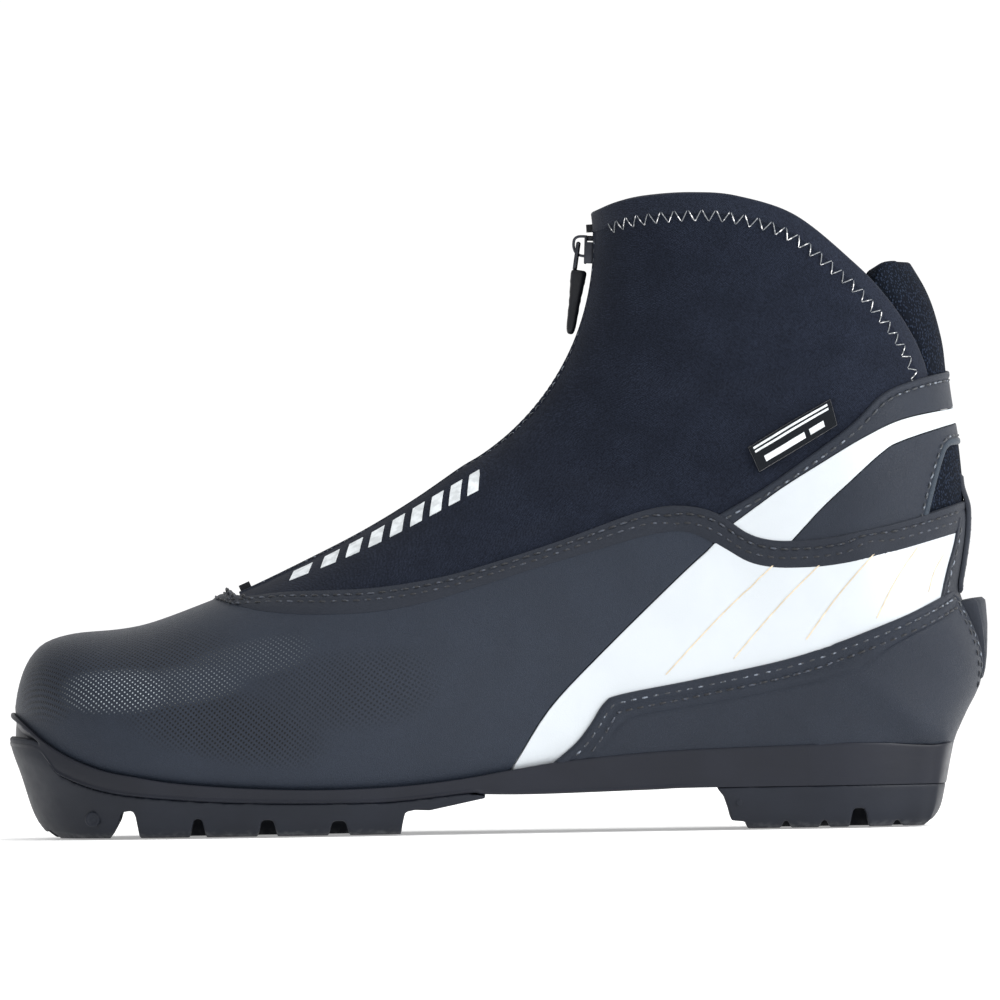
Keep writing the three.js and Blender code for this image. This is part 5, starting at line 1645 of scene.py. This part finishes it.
def softened(mesh):
    """Rounds every edge as a mould does: remesh, smooth, then thin out the flat parts."""

    def build(holder):
        again = holder.modifiers.new("remesh", "REMESH")
        again.mode, again.voxel_size = "VOXEL", VOXEL * MM
        soft = holder.modifiers.new("smooth", "SMOOTH")
        soft.factor, soft.iterations = 0.5, SMOOTHING
        thin = holder.modifiers.new("thin", "DECIMATE")
        thin.ratio = KEPT_SHARE

    return with_modifiers(mesh, build)


# The treads in the side view, and what is cut out of them. A gap is (front, rear, height).
FOREFOOT = [
    (-146, -2), (-29.2, -2), (-28.6, 2), (-27.6, 6.4), (-24.8, 7), (-20.5, 6.8), (-4.4, 10.1), (-4.2, 10.9),
    (-9, 11.3), (-9, 60), (-146, 60),
]
HEEL = [
    (62.6, 11.8), (64.6, 9.3), (66, 5), (66.6, 2.4), (70.8, 2), (71.4, -2), (146, -2), (146, 60), (62.6, 60),
]
BAR_MOUTH = [(-134, -1), (-124, 9), (-108, 9.6), (-102, 9.4), (-102, -1)]
BAR_NOTCH = [(-113.4, -1), (-110.4, 4.3), (-109.4, 7.6), (-106.4, 8), (-105.6, 6.6), (-104.2, -1)]
FOREFOOT_GAPS = [(-88.6, -86.4, 5.4), (-69, -65.8, 4.8), (-48.6, -45, 4.2)]
HEEL_GAPS = [(81.9, 82.9, 2.2), (93, 94, 2.2), (102, 105.2, 5.4), (114.1, 115.1, 1.8)]
GAP_LEAN = 1.5
MIDDLE_RIB = 6
GROOVE_Y, GROOVE_WIDTH, GROOVE_HEIGHT = 9.5, 6, 4.2
MOUTH_HALF, REACH = 13, 60


def gap_cutters(gaps):
    cutters = []
    for front, rear, high in gaps:
        outline = [(front - GAP_LEAN, -1), (front, high), (rear, high), (rear + GAP_LEAN, -1)]
        cutters += [prism(outline, -REACH, -MIDDLE_RIB), prism(outline, MIDDLE_RIB, REACH)]
    return cutters


def guide_cutters(x0, x1):
    outline = [(x0, -1), (x0 + 1, GROOVE_HEIGHT), (x1 - 1, GROOVE_HEIGHT), (x1, -1)]
    half = GROOVE_WIDTH / 2
    return [prism(outline, side * GROOVE_Y - half, side * GROOVE_Y + half) for side in BOTH]


TREAD_IN = -0.12


def make_tread(name, outline, cutters, node):
    """One of the treads: the foot of the sole's wall, cut to its outline and carved."""
    head = LEDGE_SHARE - 1.5 * AT_FRONT / RIM[:, 2]
    rows = [wall_point(head, -0.4)]
    rows += [wall_point(head + (1 - head) * s, TREAD_IN) for s in np.linspace(0.02, 1, 14)]
    made = Body()
    made.grid(np.stack(rows), wrap=True)
    made.grid(across_cap(rows[0]))
    made.grid(across_cap(rows[-1]))
    mesh = carve(turned_outward(made.mesh("blank")), prism(outline, -REACH, REACH), "INTERSECT")
    for cutter in cutters:
        mesh = carve(mesh, cutter, "DIFFERENCE")
    mesh = softened(mesh)
    mesh.name = name
    stand_for(finish_mesh(name, mesh, TREAD, sharp=55), node)


def lathe(name, axis_start, way, sections, material, sides=32):
    """A turned piece along y, either way: sections are [distance along the axis, radius]."""
    axis = np.array([0.0, way, 0.0])
    aside = unit(np.cross(axis, [0.3, 0.2, 1.0]))
    other = np.cross(axis, aside)
    angle = np.arange(sides) * 2 * math.pi / sides
    ring = np.cos(angle)[:, None] * aside + np.sin(angle)[:, None] * other
    centres = np.array(axis_start)[None] + np.outer([a for a, _ in sections], axis)
    points = centres[:, None] + ring[None] * np.array([max(r, 0.001) for _, r in sections])[:, None, None]
    made = Body()
    made.grid(points, wrap=True)
    return made.build(name, material)


def round_ends(length, radius, corner):
    turn = np.linspace(0, math.pi / 2, 6)
    start = [(0, 0)] + [(corner * (1 - math.cos(a)), radius - corner * (1 - math.sin(a))) for a in turn]
    return start + [(length - along_it, r) for along_it, r in start[::-1]]


def wall_spot(x, z, side):
    """The place on the tread's wall at x and height z on one side."""
    wall = wall_point(1 - z / RIM[:, 2], TREAD_IN)
    return wall[np.argmin(np.abs(wall[:, 0] - x) + 1000 * (wall[:, 1] * side < 0))]


# The round marks on the sole's wall: the plug over each end of the bar, and a dot at the heel.
PLUG = [
    (-1.5, 0), (-1.5, 2.2), (0, 2.2), (0.25, 2.0), (0.3, 1.5), (0.1, 1.25), (0.1, 0.6), (0.22, 0.35), (0.25, 0),
]
DOT = [(-1, 0), (-1, 0.95), (0.15, 0.95), (0.28, 0.8), (0.28, 0)]
HEEL_DOT = (68.6, 7.6)
BAR_RADIUS, BAR_CORNER = 2, 0.5


def make_sole():
    make_chassis()
    mouth = [prism(BAR_MOUTH, -MOUTH_HALF, MOUTH_HALF), prism(BAR_NOTCH, -REACH, REACH)]
    forefoot_cuts = mouth + gap_cutters(FOREFOOT_GAPS) + guide_cutters(-103, 10)
    make_tread("forefoot_tread", FOREFOOT, forefoot_cuts, "forefoot_outsole")
    make_tread("heel_tread", HEEL, gap_cutters(HEEL_GAPS) + guide_cutters(60, 112), "heel_outsole")
    low, high = (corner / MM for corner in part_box("toe_bar"))
    x, _, z = (low + high) / 2
    sections = round_ends(high.y - low.y, BAR_RADIUS, BAR_CORNER)
    stand_for(lathe("binding_bar", (x, low.y, z), 1, sections, STEEL), "toe_bar")
    for side, y in ((OUTER, low.y), (INNER, high.y)):
        lathe(f"bar_plug_{SIDE_NAMES[side]}", (x, y, z), side, PLUG, TREAD)
        lathe(f"heel_dot_{SIDE_NAMES[side]}", wall_spot(*HEEL_DOT, side), side, DOT, TREAD, sides=16)


# ---------------------------------------------------------------- zip

ZIP_FROM, ZIP_TO = -26.2, math.radians(91) * FAN_RADIUS
TOOTH_PITCH = 2.1
SLIDER_ANGLE = math.radians(87.4)
SLIDER_LEAN = math.radians(2.6)
PULL_LEAN = math.radians(6.4)
PIVOT_OUT, PIVOT_UP = 3.1, 1.6
LINK_LENGTH, LINK_WIRE, LINK_HALF, LINK_CORNER = 7.2, 0.7, 1.9, 2 / 4.2
# The grip's sections: distance down, half thickness and half width.
GRIP_SECTIONS = [
    (0, 1.5, 2), (0.7, 2.25, 2.7), (3.5, 2.15, 2.7), (9, 1.7, 2.3), (16, 1.4, 2.3), (18.2, 1, 1.9),
    (18.8, 0.4, 1),
]
GRIP_SHIFT, GRIP_GAP, GRIP_CORNER, GRIP_SIDES = 1.3, 0.3, 0.72, 28


def rounded_box(size, radius, steps=(0, 0.5, 1)):
    """The six faces of a box with rounded edges, as grids of points about its centre."""
    half = np.array(size) / 2
    core = half - radius
    places = []
    for axis in range(3):
        outer_part = [-core[axis] - radius * s for s in steps[::-1]]
        places.append(np.array(outer_part + [core[axis] + radius * s for s in steps]))
    faces = []
    for axis in range(3):
        b, c = (axis + 1) % 3, (axis + 2) % 3
        grid_b, grid_c = np.meshgrid(places[b], places[c], indexing="ij")
        for sign in (-1, 1):
            point = np.zeros(grid_b.shape + (3,))
            point[..., axis], point[..., b], point[..., c] = sign * half[axis], grid_b, grid_c
            inner = np.clip(point, -core, core)
            faces.append(inner + unit(point - inner) * radius)
    return faces


def along_zip(u):
    """A place on the zip's line, with the directions along it and out of it."""
    ridge = last_point(np.array(u), np.array(0.0))
    ahead = unit(last_point(np.array(u + 0.5), np.array(0.0)) - last_point(np.array(u - 0.5), np.array(0.0)))
    out = unit(np.cross(ahead, [0, 1.0, 0]))
    out = out * np.sign(out[2] if abs(out[2]) > 0.3 else -out[0])
    return ridge, ahead, out


# The two blocks of a tooth: size, distance from the middle plane, and offset from the last.
TOOTH = [((1.25, 2.3, 1.7), 1.35, -2.1), ((0.8, 0.9, 1.2), 2.4, -2.25)]
TAPE_ROWS = (1.6, 2.0, 3.4, 5.0, 6.6, 8.4)
ACROSS = np.array([0, 1, 0])


def make_zip():
    """On each side a row of teeth, half a pitch apart from the other row, and its tape."""
    run = ridge_run(ZIP_FROM, ZIP_TO, 300)
    total = lengths(run)
    stations = np.interp(np.arange(0.8, total[-1] - 0.5, TOOTH_PITCH), total, run[:, 0])
    for side in BOTH:
        label = SIDE_NAMES[side]
        made = Body()
        for u in stations[:-1] + (0 if side == OUTER else TOOTH_PITCH / 2):
            place, ahead, out = along_zip(u)
            for size, y, offset in TOOTH:
                spot = place + side * y * ACROSS + out * offset
                for face in rounded_box(size, 0.3, (0, 1)):
                    made.grid(spot + face[..., :1] * ahead + face[..., 1:2] * ACROSS + face[..., 2:] * out)
        teeth = made.build(f"zip_chain_{label}", PLASTIC, sharp=50)
        stand_for(teeth, f"zip_teeth_{label}")
        u = np.linspace(ZIP_FROM - 3, ZIP_TO + 4, 110)
        tape = Body()
        tape.layer(np.stack([beside_ridge(u, y) for y in TAPE_ROWS]), side, -2.65, -3.25)
        stand_for(tape.build(f"zip_tape_strip_{label}", TAPE_CLOTH), f"zip_tape_{label}")


def leaned(points, lean, to_x, to_z):
    """The points turned about y, then moved."""
    c, n = math.cos(lean), math.sin(lean)
    x, y, z = points[..., 0], points[..., 1], points[..., 2]
    return np.stack([x * c + z * n + to_x, y, z * c - x * n + to_z], -1)


def slider_places(points):
    """From the slider's own frame, -X outward and +Z up the zip, to the boot."""
    x = ZIP_CENTRE[0] + ZIP_RADIUS * math.sin(SLIDER_ANGLE)
    return leaned(points, SLIDER_LEAN, x, ZIP_CENTRE[1] - ZIP_RADIUS * math.cos(SLIDER_ANGLE))


def pull_places(points):
    """From the pull's own frame, hanging down from its pivot, to the boot."""
    return slider_places(leaned(points, PULL_LEAN, -PIVOT_OUT, PIVOT_UP))


def squared(turn, power):
    """A circle pushed out towards its corners: cosine and sine, each raised to a power."""
    return tuple(np.sign(way) * np.abs(way) ** power for way in (np.cos(turn), np.sin(turn)))


def closed_wire(points, radius):
    """A ring of wire through a closed line of points."""
    sides = 10
    tangent = unit(np.roll(points, -1, 0) - np.roll(points, 1, 0))
    aside = unit(np.cross(tangent, [1.0, 0, 0]))
    other = np.cross(tangent, aside)
    angle = np.arange(sides + 1) * 2 * math.pi / sides
    ring = aside[:, None] * np.cos(angle)[:, None] + other[:, None] * np.sin(angle)[:, None]
    return np.transpose(points[:, None] + ring * radius, (1, 0, 2))


# The slider in its own frame: plates, side walls and divider, each (size, edge radius, centre), and
# the middle line of the bridge that holds the pull, as (x, z).
SLIDER_BLOCKS = [
    ((0.85, 8.2, 8.4), 0.38, (-0.95, 0, 0)), ((0.7, 8.2, 8.4), 0.33, (2.0, 0, 0)),
    ((2.5, 0.8, 6.2), 0.3, (0.15, 3.75, -0.9)), ((2.5, 0.8, 6.2), 0.3, (0.15, -3.75, -0.9)),
    ((3.2, 1.6, 1.5), 0.4, (0.5, 0, 3.3)),
]
WAIST = 0.13
BRIDGE = [
    (-1.2, -1.9), (-2.4, -1.75), (-3.7, -1.0), (-4.35, 0.3), (-4.5, 1.7), (-4.2, 3.0), (-3.1, 3.7),
    (-1.2, 3.8),
]
BRIDGE_THICK, BRIDGE_WIDE = 0.42, 0.95


def make_slider():
    """The zip's slider with the bridge that holds the pull."""
    made = Body()
    for size, radius, centre in SLIDER_BLOCKS:
        for face in rounded_box(size, radius):
            face[..., 1] *= 1 - WAIST * ease(-(face[..., 2] + centre[2]) / 5)
            made.grid(slider_places(face + np.array(centre)))
    bridge = smooth(BRIDGE, 5)
    ahead = unit(np.gradient(bridge, axis=0))
    normal = np.stack([ahead[:, 1], -ahead[:, 0]], -1)
    thick, wide = squared(np.arange(13) * 2 * math.pi / 12, 0.6)
    rings = bridge[:, None] + normal[:, None] * (BRIDGE_THICK * thick)[None, :, None]
    arch = np.stack([rings[..., 0], 0 * rings[..., 0] + BRIDGE_WIDE * wide[None], rings[..., 1]], -1)
    made.grid(slider_places(arch))
    for end in (0, -1):
        made.grid(slider_places(np.stack([arch[end], np.repeat(arch[end].mean(0)[None], 13, 0)])))
    stand_for(made.build("zip_slider_body", PLATED, "slider", sharp=50), "zip_slider")


def make_pull():
    """The wire link and the ribbed grip, which swing together."""
    wide, tall = squared(np.linspace(0, 2 * math.pi, 60, endpoint=False), LINK_CORNER)
    loop = np.stack([0 * wide, LINK_HALF * wide, LINK_LENGTH / 2 * (tall - 1)], -1)
    made = Body()
    made.grid(pull_places(closed_wire(loop, LINK_WIRE)), wrap=True)
    stand_for(made.build("pull_wire", PLATED, "pull", sharp=60), "pull_link")

    turned = squared(np.arange(GRIP_SIDES) * 2 * math.pi / GRIP_SIDES, GRIP_CORNER)
    rings = []
    for down, thick, wide in smooth(GRIP_SECTIONS, 5):
        groove = 0.072 * math.sin(down * 2.3) * (3 < down < 14)
        x, y = (thick + groove) * turned[0], wide * turned[1]
        rings.append(np.stack([x + GRIP_SHIFT, y, 0 * x - LINK_LENGTH - GRIP_GAP - down], -1))
    rings = np.stack(rings)
    ends = [np.repeat(rings[k].mean(0)[None], GRIP_SIDES, 0) for k in (0, -1)]
    made = Body()
    made.grid(pull_places(np.concatenate([ends[:1], rings, ends[1:]])), wrap=True)
    stand_for(made.build("pull_handle", PLASTIC, "pull", sharp=50), "pull_grip")


# ---------------------------------------------------------------- what stays as the CAD has it

KEPT_FINISHES = {
    "insole_board": BOARD, "steel_shank": STEEL, "zip_top_stop": PLASTIC, "zip_bottom_stop": PLASTIC,
    "lace": CORD_CLOTH, "lace_lock": PLASTIC, "lock_button": PLASTIC,
}


def finish_kept():
    """Gives the CAD nodes that stay in view their materials."""
    loops = {name: TAPE_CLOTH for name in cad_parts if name.startswith("lace_loop")}
    for name, material in {**KEPT_FINISHES, **loops}.items():
        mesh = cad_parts[name].data
        mesh.materials.clear()
        mesh.materials.append(material)


# ---------------------------------------------------------------- studio

TARGET = Vector((0.0012, 0, 0.0959))
FIELD = 0.29
LENS = 1200
ROLL = math.radians(0.909)
CAMERA_RISE = math.radians(0.3)


def make_camera():
    """The photograph's view: from far away, a little from above, and rolled."""
    level = Vector((math.cos(ROLL), 0, -math.sin(ROLL)))
    upright = Vector((math.sin(ROLL), 0, math.cos(ROLL)))
    ahead = Vector((0, 1, 0)) * math.cos(CAMERA_RISE) - upright * math.sin(CAMERA_RISE)
    above = upright * math.cos(CAMERA_RISE) + Vector((0, 1, 0)) * math.sin(CAMERA_RISE)
    data = bpy.data.cameras.new("camera")
    data.lens, data.clip_end = LENS, 100
    camera = linked("camera", data)
    camera.matrix_world = Matrix.Translation(TARGET - ahead * FIELD * LENS / data.sensor_width) @ Matrix(
        (level, above, -ahead)).transposed().to_4x4()
    bpy.context.scene.camera = camera


LIT_SPOT = Vector((0, 0, 0.08))
# Name, place, size and power of each lamp.
LAMPS = [
    ("overhead", (0.05, -0.25, 1.3), (1.4, 1.0), 7),
    ("front_left", (-1.1, -1.2, 0.7), (0.9, 0.9), 1.5),
    ("rear_right", (1.25, -0.75, 0.6), (0.7, 0.9), 18),
]


def make_light(name, place, size, power):
    data = bpy.data.lights.new(name, "AREA")
    data.shape, data.energy = "RECTANGLE", power
    data.size, data.size_y = size
    turn = (Vector(place) - LIT_SPOT).to_track_quat("Z", "Y")
    linked(name, data).matrix_world = Matrix.Translation(Vector(place)) @ turn.to_matrix().to_4x4()


WORLD_LIGHT, FROM_ABOVE, FROM_HEEL = 1.06, -0.5, 0.4
FLOOR_GLOW, FLOOR_REACH, FLOOR_Z = 0.34, 12, -0.0004


def world_math(tree, operation, *values):
    """A math node of the world's tree, fed with numbers and sockets."""
    made = tree.nodes.new("ShaderNodeMath")
    made.operation = operation
    for socket, value in zip(made.inputs, values):
        if isinstance(value, bpy.types.NodeSocket):
            tree.links.new(value, socket)
        else:
            socket.default_value = value
    return made.outputs[0]


def light_world(tree):
    """White light that is weaker from above, and stronger from the heel than from the toe."""
    place = tree.nodes.new("ShaderNodeTexCoord")
    parts = tree.nodes.new("ShaderNodeSeparateXYZ")
    tree.links.new(place.outputs["Generated"], parts.inputs[0])
    above = world_math(tree, "MAXIMUM", parts.outputs["Z"], 0.0)
    total = world_math(tree, "MULTIPLY_ADD", above, FROM_ABOVE, WORLD_LIGHT)
    total = world_math(tree, "MULTIPLY_ADD", parts.outputs["X"], FROM_HEEL, total)
    tree.nodes["Background"].inputs["Color"].default_value = (1, 1, 1, 1)
    tree.links.new(total, tree.nodes["Background"].inputs["Strength"])


def make_studio():
    mesh = bpy.data.meshes.new("floor")
    corners = [(x * FLOOR_REACH, y * FLOOR_REACH, 0) for x, y in ((-1, -1), (1, -1), (1, 1), (-1, 1))]
    mesh.from_pydata(corners, [], [(0, 1, 2, 3)])
    floor = linked("floor", mesh)
    floor.location.z = FLOOR_Z
    pale = Shader("floor_white")
    glow = {"Emission Color": (1, 1, 1, 1), "Emission Strength": FLOOR_GLOW}
    mesh.materials.append(pale.finish((0.97, 0.97, 0.97, 1), 0.9, glow))
    floor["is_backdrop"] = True
    world = bpy.data.worlds.new("world")
    world.use_nodes = True
    light_world(world.node_tree)
    bpy.context.scene.world = world
    bpy.context.scene.view_settings.view_transform = "Standard"
    for lamp in LAMPS:
        make_light(*lamp)


# ---------------------------------------------------------------- the boot


def main():
    make_sole()
    make_footbed()
    make_lining()
    make_tongue()
    make_collar()
    make_vamp()
    make_quarters()
    make_stiffeners()
    make_strap()
    make_counters()
    make_heel_lip()
    make_backstay()
    make_cuff()
    make_cover()
    make_marks()
    make_zip()
    make_slider()
    make_pull()
    finish_kept()
    make_studio()
    make_camera()
    sizes = {"cad": CAD_BOX, "shown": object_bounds()}
    plain = {name: [[float(c) for c in corner] for corner in box] for name, box in sizes.items()}


main()
